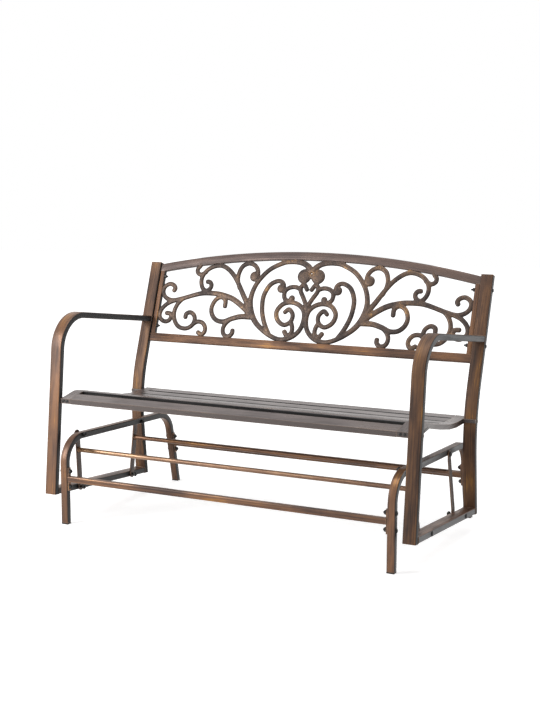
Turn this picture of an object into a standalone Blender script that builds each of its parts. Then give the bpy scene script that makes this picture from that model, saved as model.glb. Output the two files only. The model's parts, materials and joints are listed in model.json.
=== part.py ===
"""Two-seat garden glider bench: a standing base, four swing links and a gliding seat with a scrolled back.

Metres, +Z up. X runs across the bench, the seat faces -Y, and the floor is z = 0. The origin is under the
middle of the whole bench. Side views are drawn as (y, z) points, with y = 0 at the front of the seat frame's
front post foot, and FRAME_SHIFT then moves them to the origin.
"""

import math

import bmesh
import bpy
from mathutils import Matrix, Vector

# Overall width and the tubes
OVERALL_WIDTH = 1.276
FRAME_TUBE_WIDTH = 0.041
FRAME_TUBE_DEPTH = 0.020
BASE_TUBE_WIDTH = 0.025
BASE_TUBE_DEPTH = 0.020
SWING_SPACE = 0.0215
TUBE_CORNER = 0.003
TOUCH_GAP = 0.0003
CUT_SPARE = 0.040

# Standing base, seen from the side
BASE_LEG_FRONT = 0.009
BASE_RAIL_HEIGHT = 0.2795
BASE_RAIL_TILT = math.radians(1.63)
BASE_REAR_CORNER = 0.6325
BASE_REAR_LEAN = math.radians(12.35)
BASE_BEND_RADIUS = 0.080
FOOT_PLUG_HEIGHT = 0.005
STRETCHER_SIDE = 0.019
STRETCHER_HEIGHT = 0.150
PLATE_HEIGHT = 0.074
PLATE_THICKNESS = 0.004
PLATE_BOLT_SPACING = 0.050

# Swing links and rods
LINK_LENGTH = 0.1905
LINK_WIDTH = 0.022
LINK_THICKNESS = 0.004
LINK_EYE_RADIUS = 0.0125
LINK_EYE_THICKNESS = 0.0048
LINK_SIDE_PLAY = 0.0006
LINK_FLAT_LENGTH = 0.018
LINK_BEND_RADIUS = 0.030
FRONT_PIVOT = 0.0968
FRONT_PIVOT_RISE = 0.0036
FRONT_LINK_LEAN = 0.0379
REAR_LINK_LEAN = 0.0
LOWER_PIVOT_SPACING = 0.3075
ROD_DIAMETER = 0.015
ROD_DROP = 0.058

# Gliding seat frame, with heights above the middle of the bottom rail at y = 0
RAIL_TILT = math.radians(3.98)
POST_FOOT = 0.0095
POST_LEAN = math.radians(5.7)
ARM_CORNER_HEIGHT = 0.5706
ARM_TILT = math.radians(7.1)
ARM_BEND_RADIUS = 0.110
BACK_CORNER = 0.5108
BACK_CORNER_HEIGHT = 0.2528
BACK_LOWER_LEAN = math.radians(-6.3)
BACK_UPPER_LEAN = math.radians(18.85)
BACK_BEND_RADIUS = 0.550
POST_RISE_ABOVE_ARCH = 0.0014
CAP_THICKNESS = 0.004

# Seat surface, front to back, as (y, height)
SEAT_PROFILE = (
    (0.036, 0.3008),
    (0.064, 0.3060),
    (0.084, 0.3105),
    (0.107, 0.3155),
    (0.125, 0.3163),
    (0.150, 0.3123),
    (0.180, 0.3045),
    (0.215, 0.2960),
    (0.300, 0.2785),
    (0.385, 0.2640),
    (0.450, 0.2590),
    (0.510, 0.2603),
    (0.550, 0.2628),
)
SIDE_BAR_WIDTH = 0.0365
SIDE_BAR_HEIGHT = 0.016
SIDE_BAR_FRONT = 0.036
GUSSET_TOP = (0.056, 0.207)
GUSSET_FOOT = (0.108, 0.152)
GUSSET_BOTTOM = 0.2735
GUSSET_THICKNESS = 0.005
GUSSET_INSET = 0.0005
FRONT_SLAT_BACK = 0.084
SECOND_SLAT_FRONT = 0.107
SLAT_WIDTH = 0.0475
SLAT_SLOT = 0.010
SLAT_THICKNESS = 0.011
SLAT_COUNT = 7
REAR_SLAT_WIDTH = 0.040
FRONT_SLAT_FRONT = 0.036
FRONT_LIP_DROP = 0.0165
FRONT_LIP_THICKNESS = 0.010
SLAT_EDGE = 0.0015
FRONT_SEAT_BOLT_HEIGHT = 0.2938
FRONT_SEAT_BOLT_SETBACK = 0.0040
REAR_SEAT_BOLT = 0.5275

# Back panel and its scrollwork, in the plane of the back
PANEL_BASE_HEIGHT = 0.4568
PANEL_SETBACK = 0.005
PANEL_DEPTH = 0.016
PANEL_SIDE_WIDTH = 0.0175
PANEL_RAIL_WIDTH = 0.029
ARCH_CENTRE_HEIGHT = 0.3147
ARCH_RISE = 0.0617
ARCH_STEPS = 24
PANEL_BOLT_SETBACK = 0.0035
PANEL_BOLT_LOWER = 0.0275
PANEL_BOLT_UPPER = 0.2090
SCROLL_FORWARD = 0.0030
SCROLL_DEPTH = 0.010
SCROLL_RADIUS = 0.0066
DISC_RADIUS = 0.0245
DISC_SPACING = 0.0515
PAD_WIDTH = 0.020
PAD_HEIGHT = 0.016
STEM_LENGTH = 0.060
SCROLL_TURN = math.radians(24)
SCROLL_STEP = 0.030

# Fasteners: shank radius, head radius, head height, nut radius, nut height, and thread beyond the nut
HOLE_PLAY = 0.0006
REAR_EYE_PLAY = 0.0011
STRETCHER_BOLT = (0.0035, 0.0070, 0.0040, 0.0070, 0.0065, 0.0030)
UPPER_PIVOT_BOLT = (0.0040, 0.0080, 0.0060, 0.0080, 0.0075, 0.0030)
LOWER_PIVOT_BOLT = (0.0040, 0.0080, 0.0035, 0.0080, 0.0080, 0.0020)
SEAT_BOLT = (0.0030, 0.0060, 0.0012, 0.0, 0.0, 0.0)
SEAT_BOLT_REACH = 0.025
PANEL_BOLT = (0.0030, 0.0060, 0.0030, 0.0060, 0.0065, 0.0060)

# Detail of round shapes
BEND_STEP = math.radians(11.5)
BOLT_SIDES = 8
ROUND_SIDES = 16

# Scrollwork of one half, drawn on a grid that fills the panel's opening from its middle to its side and from
# its foot to the top of the arch, as (units across, units up, thickness factor)
SCROLL_UNITS_ACROSS = 575
SCROLL_UNITS_UP = 286
SCROLL_STROKES = {
    "outer_sweep": (
        (3, 250, 1.15), (13, 262, 1.25), (30, 273, 1.2), (52, 278, 1.05), (78, 279, 1.0),
        (111, 274, 1.0), (162, 247, 1.0), (201, 199, 1.0), (216, 150, 1.1), (211, 106, 1.3),
        (189, 66, 1.2), (155, 36, 1.05), (118, 15, 1.0), (81, 5.5, 1.0), (43, 15, 1.0), (15, 41, 1.0),
        (4.5, 76, 1.0), (9, 108, 1.0), (30, 129, 1.0), (61, 137, 1.0), (92, 128, 1.0), (110, 101, 1.0),
        (101, 72, 1.0), (75, 57, 0.95), (52, 70, 0.95), (48, 94, 0.95), (64, 112, 0.95),
        (79, 101, 0.92),
    ),
    "inner_sweep": (
        (101, 184, 1.3), (98, 196, 1.0), (107, 207, 0.95), (125, 209, 0.95), (151, 193, 1.0),
        (168, 155, 1.0), (167, 110, 1.0), (157, 75, 1.0), (142, 44, 1.0), (126, 20, 0.95),
    ),
    "loop_tail": (
        (51, 69, 0.95), (44, 54, 0.95), (42, 38, 0.95), (48, 25, 0.95), (61, 23, 1.0), (70, 34, 1.05),
    ),
    "heart": (
        (-2, 118, 0.95), (16, 152, 0.95), (31, 177, 0.95), (31, 193, 0.95), (20, 200, 0.95),
        (8, 183, 0.95),
    ),
    "crown_curl": (
        (31, 184, 0.95), (53, 191, 0.95), (74, 188, 0.95), (88, 177, 0.95), (91, 162, 0.95),
        (86, 148, 0.95), (73, 141, 0.95), (61, 145, 1.0),
    ),
    "long_arm": (
        (209, 84, 1.2), (234, 106, 1.2), (281, 136, 1.2), (325, 150, 1.15), (364, 155, 1.1),
        (411, 153, 1.05), (459, 140, 0.95), (500, 127, 0.95), (532, 123, 0.95), (558, 133, 0.95),
        (570, 152, 0.95), (566, 171, 0.95), (548, 182, 0.95), (530, 177, 0.97), (523, 166, 1.0),
        (527, 158, 1.0),
    ),
    "end_curl": (
        (480, 133, 0.95), (515, 123, 0.95), (544, 110, 0.95), (564, 90, 0.95), (570, 68, 0.95),
        (562, 52, 0.95), (545, 44, 0.95), (529, 48, 0.95), (522, 61, 0.95), (526, 73, 0.97),
        (542, 75, 1.0),
    ),
    "great_curl": (
        (458, 140, 0.95), (486, 129, 0.95), (505, 106, 0.95), (512, 78, 0.95), (504, 49, 0.95),
        (484, 28, 0.95), (455, 23, 0.95), (432, 35, 0.95), (424, 56, 0.95), (430, 73, 0.95),
        (446, 82, 0.97), (461, 76, 1.0), (463, 63, 1.0),
    ),
    "great_curl_tail": (
        (431, 38, 0.95), (412, 50, 0.95), (391, 47, 0.95), (378, 32, 0.95), (377, 16, 0.95),
        (388, 5, 0.97), (403, 12, 1.0),
    ),
    "middle_curl": (
        (201, 78, 1.2), (245, 77, 1.15), (278, 68, 1.1), (309, 56, 1.05), (338, 60, 1.0),
        (358, 79, 1.0), (364, 104, 0.95), (353, 131, 0.95), (332, 143, 0.97), (314, 132, 1.0),
        (312, 110, 1.0),
    ),
    "middle_tail": (
        (258, 73, 0.95), (282, 65, 0.95), (298, 51, 0.95), (306, 33, 0.95), (303, 15, 0.95),
        (291, 5, 0.97), (277, 6, 1.0), (268, 17, 1.0), (268, 27, 1.0),
    ),
    "upper_arm": (
        (213, 94, 1.15), (226, 122, 1.15), (248, 155, 1.1), (276, 198, 1.0), (302, 229, 1.0),
        (333, 251, 1.0), (362, 256, 0.95), (395, 245, 0.95), (417, 222, 0.95), (422, 197, 0.95),
        (413, 173, 0.95), (397, 163, 0.95), (382, 172, 0.95), (379, 185, 0.97), (387, 195, 1.0),
        (397, 196, 1.0),
    ),
    "arch_tie": (
        (408, 231, 0.95), (426, 221, 0.95), (441, 227, 0.95), (444, 240, 0.95), (436, 251, 0.95),
        (430, 263, 0.95),
    ),
    "branch": (
        (266, 178, 0.95), (277, 206, 0.95), (277, 232, 0.95), (267, 256, 1.0), (246, 268, 1.0),
        (223, 264, 0.97), (207, 248, 0.97), (203, 230, 1.0), (209, 220, 1.1),
    ),
}
SCROLL_BALLS = ((105, 184, 1.85), (214, 222, 2.15), (60, 151, 1.3))
ARCH_PADS = ((66, 289), (246, 281), (352, 266), (111, 286))
DISC_UP = 230
STEM_UP = 88


FRAME_OUTER = OVERALL_WIDTH / 2
FRAME_INNER = FRAME_OUTER - FRAME_TUBE_WIDTH
BASE_OUTER = FRAME_INNER - SWING_SPACE
BASE_INNER = BASE_OUTER - BASE_TUBE_WIDTH
LINK_UPPER_X = BASE_OUTER + LINK_SIDE_PLAY + LINK_EYE_THICKNESS / 2
LINK_LOWER_X = FRAME_INNER - LINK_SIDE_PLAY - LINK_EYE_THICKNESS / 2


def base_rail_centre(y):
    return BASE_RAIL_HEIGHT - math.tan(BASE_RAIL_TILT) * (y - BASE_LEG_FRONT)


def rear_leg_centre(z):
    corner_height = base_rail_centre(BASE_REAR_CORNER)
    return BASE_REAR_CORNER + math.tan(BASE_REAR_LEAN) * (corner_height - z)


def link_drop(lean):
    return math.sqrt(LINK_LENGTH**2 - lean**2)


FRONT_UPPER = Vector((FRONT_PIVOT, base_rail_centre(FRONT_PIVOT) + FRONT_PIVOT_RISE))
FRONT_LOWER = FRONT_UPPER + Vector((FRONT_LINK_LEAN, -link_drop(FRONT_LINK_LEAN)))
RAIL_FOOT_HEIGHT = FRONT_LOWER.y + math.tan(RAIL_TILT) * FRONT_LOWER.x


def rail_centre(y):
    return RAIL_FOOT_HEIGHT - math.tan(RAIL_TILT) * y


REAR_LOWER_Y = FRONT_LOWER.x + LOWER_PIVOT_SPACING
REAR_LOWER = Vector((REAR_LOWER_Y, rail_centre(REAR_LOWER_Y)))
REAR_UPPER = REAR_LOWER + Vector((-REAR_LINK_LEAN, link_drop(REAR_LINK_LEAN)))


def above_rail(height):
    return RAIL_FOOT_HEIGHT + height


def unit(angle):
    """Direction in the side view that leans back from upright by the angle."""
    return Vector((math.sin(angle), math.cos(angle)))


def meeting(point_a, along_a, point_b, along_b):
    """Where two lines of the side view meet."""
    across = along_a.x * along_b.y - along_a.y * along_b.x
    apart = point_b - point_a
    return point_a + along_a * ((apart.x * along_b.y - apart.y * along_b.x) / across)


POST_UP = unit(POST_LEAN)
ARM_BACK = Vector((math.cos(ARM_TILT), -math.sin(ARM_TILT)))
RAIL_BACK = Vector((math.cos(RAIL_TILT), -math.sin(RAIL_TILT)))
BACK_UP = unit(BACK_UPPER_LEAN)
BACK_DOWN = -unit(BACK_LOWER_LEAN)
POST_FOOT_POINT = Vector((POST_FOOT, rail_centre(POST_FOOT)))
ARM_CORNER_Z = above_rail(ARM_CORNER_HEIGHT)
ARM_CORNER = POST_FOOT_POINT + POST_UP * ((ARM_CORNER_Z - POST_FOOT_POINT.y) / POST_UP.y)
BACK_CORNER_POINT = Vector((BACK_CORNER, above_rail(BACK_CORNER_HEIGHT)))
ARCH_END_HEIGHT = ARCH_CENTRE_HEIGHT - ARCH_RISE
RAIL_UP = Vector((-RAIL_BACK.y, RAIL_BACK.x))
FOOT_CUT = POST_FOOT_POINT - RAIL_UP * (FRAME_TUBE_DEPTH / 2)
POST_FRONT_FACE = POST_FOOT_POINT - Vector((POST_UP.y, -POST_UP.x)) * (FRAME_TUBE_DEPTH / 2)
FOREMOST = meeting(POST_FRONT_FACE, POST_UP, FOOT_CUT, RAIL_BACK).x
REARMOST = rear_leg_centre(0.0) + BASE_TUBE_DEPTH / (2 * math.cos(BASE_REAR_LEAN))
FRAME_SHIFT = (FOREMOST + REARMOST) / 2


def side_point(x, point):
    """World point of a side-view point at a distance x across the bench."""
    return Vector((x, point[0] - FRAME_SHIFT, point[1]))


def side_matrix(x):
    """Local x runs back, local y runs up and local z runs across the bench."""
    turn = Matrix(((0, 0, 1, 0), (1, 0, 0, 0), (0, 1, 0, 0), (0, 0, 0, 1)))
    return Matrix.Translation(side_point(x, (0.0, 0.0))) @ turn


def across_matrix(x, point):
    """Local z runs across the bench through a side-view point."""
    turn = Matrix(((0, 0, 1, 0), (1, 0, 0, 0), (0, 1, 0, 0), (0, 0, 0, 1)))
    return Matrix.Translation(side_point(x, point)) @ turn


def panel_matrix():
    """Local x runs across, local y up the back panel, and local z out of its front face."""
    along = (above_rail(PANEL_BASE_HEIGHT) - BACK_CORNER_POINT.y) / BACK_UP.y
    foot = BACK_CORNER_POINT + BACK_UP * along
    foot += Vector((BACK_UP.y, -BACK_UP.x)) * PANEL_SETBACK
    up = Vector((0, BACK_UP.x, BACK_UP.y))
    out = Vector((1, 0, 0)).cross(up)
    columns = Matrix((Vector((1, 0, 0)), up, out)).transposed().to_4x4()
    return Matrix.Translation(side_point(0.0, foot)) @ columns


def clear_scene():
    for obj in list(bpy.data.objects):
        bpy.data.objects.remove(obj, do_unlink=True)


def new_collection(name):
    collection = bpy.data.collections.new(name)
    bpy.context.scene.collection.children.link(collection)
    return collection


def new_material(name, colour, roughness, metallic):
    material = bpy.data.materials.new(name)
    material.use_nodes = True
    shader = material.node_tree.nodes["Principled BSDF"]
    shader.inputs["Base Color"].default_value = (*colour, 1.0)
    shader.inputs["Roughness"].default_value = roughness
    shader.inputs["Metallic"].default_value = metallic
    return material


clear_scene()
BENCH = new_collection("glider_bench")
CUTTERS = new_collection("cutters")

BRONZE = new_material("antique_bronze", (0.17, 0.088, 0.045), 0.42, 0.85)
COPPER = new_material("brushed_copper", (0.36, 0.19, 0.10), 0.36, 0.9)
SEAT_STEEL = new_material("seat_bronze_grey", (0.145, 0.112, 0.102), 0.45, 0.7)
CAST_BRONZE = new_material("cast_bronze", (0.14, 0.075, 0.042), 0.5, 0.8)
BLACK_STEEL = new_material("blackened_steel", (0.012, 0.010, 0.009), 0.5, 0.6)
BLACK_PLASTIC = new_material("black_plastic", (0.02, 0.018, 0.016), 0.6, 0.0)


def new_axis(name, x, point, parent=None):
    """An empty on a joint's axis, which carries the pieces of one moving body."""
    axis = bpy.data.objects.new(name, None)
    axis.empty_display_size = 0.05
    axis.location = side_point(x, point)
    BENCH.objects.link(axis)
    bpy.context.view_layer.update()
    if parent:
        axis.parent = parent
        axis.matrix_parent_inverse = parent.matrix_world.inverted()
    return axis


BASE = new_axis("base", 0.0, (FRAME_SHIFT, 0.0))
FRONT_SWING = new_axis("front_swing", 0.0, FRONT_UPPER, BASE)
REAR_SWING = new_axis("rear_swing", 0.0, REAR_UPPER, BASE)
GLIDER = new_axis("glider", 0.0, FRONT_LOWER, FRONT_SWING)


def add_piece(name, mesh, matrix, parent, material, smooth=True):
    """One named piece of the bench, from a mesh in local coordinates."""
    mesh.name = name
    mesh.materials.clear()
    mesh.materials.append(material)
    piece = bpy.data.objects.new(name, mesh)
    BENCH.objects.link(piece)
    piece.parent = parent
    bpy.context.view_layer.update()
    piece.matrix_world = matrix
    if smooth:
        mesh.shade_smooth()
        mesh.set_sharp_from_angle(angle=math.radians(35))
    return piece


def add_cutter(name, mesh, matrix):
    cutter = bpy.data.objects.new(name, mesh)
    CUTTERS.objects.link(cutter)
    cutter.matrix_world = matrix
    cutter.hide_render = True
    cutter.display_type = "WIRE"
    return cutter


def add_boolean(piece, other, operation):
    boolean = piece.modifiers.new(operation.lower(), "BOOLEAN")
    boolean.operation = operation
    boolean.solver = "EXACT"
    boolean.object = other
    return boolean


def add_bevel(piece, width, segments=1):
    bevel = piece.modifiers.new("edges", "BEVEL")
    bevel.width = width
    bevel.segments = segments
    bevel.limit_method = "ANGLE"
    bevel.angle_limit = math.radians(50)
    return bevel


def curve_points(curve, points, cyclic=False, radii=None):
    spline = curve.splines.new("POLY")
    spline.points.add(len(points) - 1)
    for index, (spline_point, point) in enumerate(zip(spline.points, points)):
        spline_point.co = (point[0], point[1], 0.0, 1.0)
        spline_point.radius = radii[index] if radii else 1.0
    spline.use_cyclic_u = cyclic
    return spline


def rounded_rectangle(width, depth, corner):
    """Outline of a tube, width along x and depth along y, with two-step corners."""
    points = []
    for quarter in range(4):
        middle = Vector((width / 2 - corner, depth / 2 - corner))
        signs = ((1, 1), (-1, 1), (-1, -1), (1, -1))[quarter]
        for step in range(3):
            angle = math.radians(90 * quarter + 45 * step)
            point = Vector((middle.x * signs[0], middle.y * signs[1]))
            points.append(point + corner * Vector((math.cos(angle), math.sin(angle))))
    return points


def ridged_strip(width, depth):
    """Six-sided section with upright sides and a ridge along each face."""
    side, shoulder, ridge = width / 2, depth * 0.3, depth / 2
    return [
        Vector(corner)
        for corner in (
            (side, -shoulder),
            (side, shoulder),
            (0, ridge),
            (-side, shoulder),
            (-side, -shoulder),
            (0, -ridge),
        )
    ]


def section_guide(name, outline):
    """A closed curve that other curves take as their section."""
    curve = bpy.data.curves.new(name, "CURVE")
    curve.dimensions = "2D"
    curve.fill_mode = "NONE"
    curve_points(curve, outline, cyclic=True)
    guide = bpy.data.objects.new(name, curve)
    CUTTERS.objects.link(guide)
    guide.hide_render = True
    guide.display_type = "WIRE"
    return guide


def mesh_of_curve(curve):
    """The closed mesh of a curve, with its end caps welded on."""
    source = bpy.data.objects.new("curve_source", curve)
    BENCH.objects.link(source)
    graph = bpy.context.evaluated_depsgraph_get()
    mesh = bpy.data.meshes.new_from_object(source.evaluated_get(graph))
    bpy.data.objects.remove(source, do_unlink=True)
    bpy.data.curves.remove(curve)
    shape = bmesh.new()
    shape.from_mesh(mesh)
    bmesh.ops.remove_doubles(shape, verts=shape.verts, dist=1e-6)
    bmesh.ops.recalc_face_normals(shape, faces=shape.faces)
    shape.to_mesh(mesh)
    shape.free()
    return mesh


def swept_mesh(path, guide, radii=None):
    """A section carried along an open path."""
    curve = bpy.data.curves.new("swept", "CURVE")
    curve.dimensions = "2D"
    curve.fill_mode = "NONE"
    curve.bevel_mode = "OBJECT"
    curve.bevel_object = guide
    curve.use_fill_caps = True
    curve_points(curve, path, radii=radii)
    return mesh_of_curve(curve)


def plate_mesh(outlines, thickness):
    """A flat plate from one outline, or from an outline and the holes in it."""
    curve = bpy.data.curves.new("plate", "CURVE")
    curve.dimensions = "2D"
    curve.fill_mode = "BOTH"
    curve.extrude = thickness / 2
    for outline in outlines:
        curve_points(curve, outline, cyclic=True)
    return mesh_of_curve(curve)


def box_mesh(size):
    mesh = bpy.data.meshes.new("box")
    shape = bmesh.new()
    bmesh.ops.create_cube(shape, size=1.0)
    bmesh.ops.scale(shape, vec=Vector(size), verts=shape.verts)
    shape.to_mesh(mesh)
    shape.free()
    return mesh


def rod_mesh(radius, length, sides):
    mesh = bpy.data.meshes.new("rod")
    shape = bmesh.new()
    bmesh.ops.create_cone(
        shape, cap_ends=True, segments=sides, radius1=radius, radius2=radius, depth=length
    )
    shape.to_mesh(mesh)
    shape.free()
    return mesh


def trim(mesh, point, outward):
    """Cuts away what lies beyond a plane of the local side view and closes the cut."""
    shape = bmesh.new()
    shape.from_mesh(mesh)
    everything = shape.verts[:] + shape.edges[:] + shape.faces[:]
    bmesh.ops.bisect_plane(
        shape,
        geom=everything,
        plane_co=(point[0], point[1], 0.0),
        plane_no=(outward[0], outward[1], 0.0),
        clear_outer=True,
    )
    open_edges = [edge for edge in shape.edges if edge.is_boundary]
    bmesh.ops.holes_fill(shape, edges=open_edges)
    bmesh.ops.recalc_face_normals(shape, faces=shape.faces)
    shape.to_mesh(mesh)
    shape.free()


def rounded_path(corners, radius):
    """A path through the corners whose inner corners are arcs of one radius."""
    corners = [Vector(corner) for corner in corners]
    path = [corners[0]]
    for before, corner, after in zip(corners, corners[1:], corners[2:]):
        back = (before - corner).normalized()
        ahead = (after - corner).normalized()
        opening = back.angle(ahead)
        turn = math.pi - opening
        reach = radius / math.tan(opening / 2)
        centre = corner + (back + ahead).normalized() * (radius / math.sin(opening / 2))
        start = corner + back * reach - centre
        sign = 1.0 if back.x * ahead.y - back.y * ahead.x < 0 else -1.0
        steps = max(2, math.ceil(turn / BEND_STEP))
        for step in range(steps + 1):
            angle = sign * turn * step / steps
            spin = Matrix.Rotation(angle, 2)
            path.append(centre + spin @ start)
    path.append(corners[-1])
    return path


FRAME_SECTION = section_guide(
    "frame_section", rounded_rectangle(FRAME_TUBE_DEPTH, FRAME_TUBE_WIDTH, TUBE_CORNER)
)
BASE_SECTION = section_guide(
    "base_section", rounded_rectangle(BASE_TUBE_DEPTH, BASE_TUBE_WIDTH, TUBE_CORNER)
)
LINK_SECTION = section_guide(
    "link_section", rounded_rectangle(LINK_THICKNESS, LINK_WIDTH, LINK_THICKNESS / 4)
)
STRETCHER_SECTION = section_guide(
    "stretcher_section", rounded_rectangle(STRETCHER_SIDE, STRETCHER_SIDE, TUBE_CORNER)
)
SCROLL_SECTION = section_guide("scroll_section", ridged_strip(2 * SCROLL_RADIUS, SCROLL_DEPTH))

SIDES = (("left", -1), ("right", 1))


def hole_cutter(name, holes):
    """Rods along X, one for each (side-view point, radius), as one cutter."""
    shape = bmesh.new()
    for point, radius in holes:
        made = bmesh.ops.create_cone(
            shape,
            cap_ends=True,
            segments=BOLT_SIDES,
            radius1=radius,
            radius2=radius,
            depth=OVERALL_WIDTH * 1.2,
        )
        bmesh.ops.translate(shape, vec=(point[0], point[1], 0.0), verts=made["verts"])
    mesh = bpy.data.meshes.new(name)
    shape.to_mesh(mesh)
    shape.free()
    return add_cutter(name, mesh, side_matrix(0.0))


def hole_radius(bolt, play=HOLE_PLAY):
    return (bolt[0] + play) / math.cos(math.pi / BOLT_SIDES)


def add_bolt(name, bolt, point, inner, outer, side, parent):
    """A bolt along X whose head lies on the face at x = outer. Its nut, if it has one, lies at x = inner."""
    shank, head, head_height, nut, nut_height, thread_end = bolt
    top = outer + TOUCH_GAP + head_height
    profile = [
        (0.0, top),
        (head * 0.6, top),
        (head, outer + TOUCH_GAP + head_height * 0.35),
        (head, outer + TOUCH_GAP),
        (shank, outer + TOUCH_GAP),
        (shank, inner - TOUCH_GAP),
    ]
    if nut_height:
        bottom = inner - TOUCH_GAP - nut_height
        profile += [(nut, inner - TOUCH_GAP), (nut, bottom), (shank, bottom)]
        profile += [(shank, bottom - thread_end), (0.0, bottom - thread_end)]
    else:
        profile.append((0.0, inner - TOUCH_GAP))
    mesh = bpy.data.meshes.new(name)
    shape = bmesh.new()
    points = [shape.verts.new((radius, 0.0, height)) for radius, height in profile]
    for first, second in zip(points, points[1:]):
        shape.edges.new((first, second))
    shape.to_mesh(mesh)
    shape.free()
    matrix = across_matrix(0.0, point)
    if side < 0:
        matrix = matrix @ Matrix.Rotation(math.pi, 4, "Y")
    piece = add_piece(name, mesh, matrix, parent, BLACK_STEEL, smooth=False)
    screw = piece.modifiers.new("turned", "SCREW")
    screw.steps = BOLT_SIDES
    screw.render_steps = BOLT_SIDES
    screw.use_merge_vertices = True
    screw.merge_threshold = 1e-5
    screw.use_smooth_shade = False
    return piece


# Standing base


def base_frame(side_name, side):
    x = side * (BASE_OUTER + BASE_INNER) / 2
    below = -CUT_SPARE
    corners = (
        (BASE_LEG_FRONT, below),
        (BASE_LEG_FRONT, base_rail_centre(BASE_LEG_FRONT)),
        (BASE_REAR_CORNER, base_rail_centre(BASE_REAR_CORNER)),
        (rear_leg_centre(below), below),
    )
    mesh = swept_mesh(rounded_path(corners, BASE_BEND_RADIUS), BASE_SECTION)
    trim(mesh, (0.0, FOOT_PLUG_HEIGHT + TOUCH_GAP), (0.0, -1.0))
    piece = add_piece(f"base_frame_{side_name}", mesh, side_matrix(x), BASE, BRONZE)
    pivots = [(point, hole_radius(UPPER_PIVOT_BOLT)) for point in (FRONT_UPPER, REAR_UPPER)]
    plates = [(point, hole_radius(STRETCHER_BOLT)) for point in stretcher_bolt_points().values()]
    add_boolean(piece, hole_cutter(f"base_holes_{side_name}", pivots + plates), "DIFFERENCE")


def stretcher_middle(end):
    if end == "front":
        return Vector((BASE_LEG_FRONT, STRETCHER_HEIGHT))
    return Vector((rear_leg_centre(STRETCHER_HEIGHT), STRETCHER_HEIGHT))


def leg_direction(end):
    return Vector((0.0, 1.0)) if end == "front" else unit(-BASE_REAR_LEAN)


def stretcher_bolt_points():
    points = {}
    for end in ("front", "rear"):
        for row, sign in (("upper", 1), ("lower", -1)):
            reach = leg_direction(end) * (sign * PLATE_BOLT_SPACING / 2)
            points[f"{end}_{row}"] = stretcher_middle(end) + reach
    return points


def stretcher(end):
    """Cross tube with a bolting plate at each end, as one welded piece."""
    half = BASE_INNER - TOUCH_GAP
    middle = stretcher_middle(end)
    lean = math.atan2(leg_direction(end).x, leg_direction(end).y)
    matrix = across_matrix(0.0, middle) @ Matrix.Rotation(-lean, 4, "Z")
    tube_half = half - PLATE_THICKNESS / 2
    path = (Vector((-tube_half, 0.0)), Vector((tube_half, 0.0)))
    mesh = swept_mesh(path, STRETCHER_SECTION)
    mesh.transform(Matrix.Rotation(-math.pi / 2, 4, "Y"))
    piece = add_piece(f"{end}_stretcher", mesh, matrix, BASE, BRONZE)
    for side_name, side in SIDES:
        plate = box_mesh((STRETCHER_SIDE - 2 * TUBE_CORNER, PLATE_HEIGHT, PLATE_THICKNESS))
        plate_x = side * (half - PLATE_THICKNESS / 2)
        plate_matrix = matrix @ Matrix.Translation((0.0, 0.0, plate_x))
        cutter = add_cutter(f"{end}_plate_{side_name}", plate, plate_matrix)
        add_boolean(piece, cutter, "UNION")
    points = [point for name, point in stretcher_bolt_points().items() if name.startswith(end)]
    holes = [(point, hole_radius(STRETCHER_BOLT)) for point in points]
    add_boolean(piece, hole_cutter(f"{end}_plate_holes", holes), "DIFFERENCE")


def foot_plug(end, side_name, side):
    """Pad under a leg, with the section of the leg where it is cut level."""
    x = side * (BASE_OUTER + BASE_INNER) / 2
    lean = 0.0 if end == "front" else BASE_REAR_LEAN
    depth = BASE_TUBE_DEPTH / math.cos(lean)
    height = FOOT_PLUG_HEIGHT / 2
    y = BASE_LEG_FRONT if end == "front" else rear_leg_centre(height)
    mesh = box_mesh((BASE_TUBE_WIDTH, depth, FOOT_PLUG_HEIGHT))
    for vertex in mesh.vertices:
        vertex.co.y -= math.tan(lean) * vertex.co.z
    matrix = Matrix.Translation(side_point(x, (y, height)))
    piece = add_piece(f"foot_plug_{end}_{side_name}", mesh, matrix, BASE, BLACK_PLASTIC)
    add_bevel(piece, TUBE_CORNER / 2)


def build_base():
    for side_name, side in SIDES:
        base_frame(side_name, side)
        for end in ("front", "rear"):
            foot_plug(end, side_name, side)
        for place, point in stretcher_bolt_points().items():
            inner = BASE_INNER - TOUCH_GAP - PLATE_THICKNESS
            name = f"stretcher_bolt_{place}_{side_name}"
            add_bolt(name, STRETCHER_BOLT, point, inner, BASE_OUTER, side, BASE)
        for end, point in (("front", FRONT_UPPER), ("rear", REAR_UPPER)):
            outer = LINK_UPPER_X + LINK_EYE_THICKNESS / 2
            name = f"upper_pivot_bolt_{end}_{side_name}"
            add_bolt(name, UPPER_PIVOT_BOLT, point, BASE_INNER, outer, side, BASE)
    for end in ("front", "rear"):
        stretcher(end)


# Swing links and rods


def link_offset(drop):
    """How far across the strap has moved at a distance below the upper pivot."""
    slope_length = LINK_LENGTH - 2 * LINK_FLAT_LENGTH
    share = min(max((drop - LINK_FLAT_LENGTH) / slope_length, 0.0), 1.0)
    return (LINK_LOWER_X - LINK_UPPER_X) * share


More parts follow.
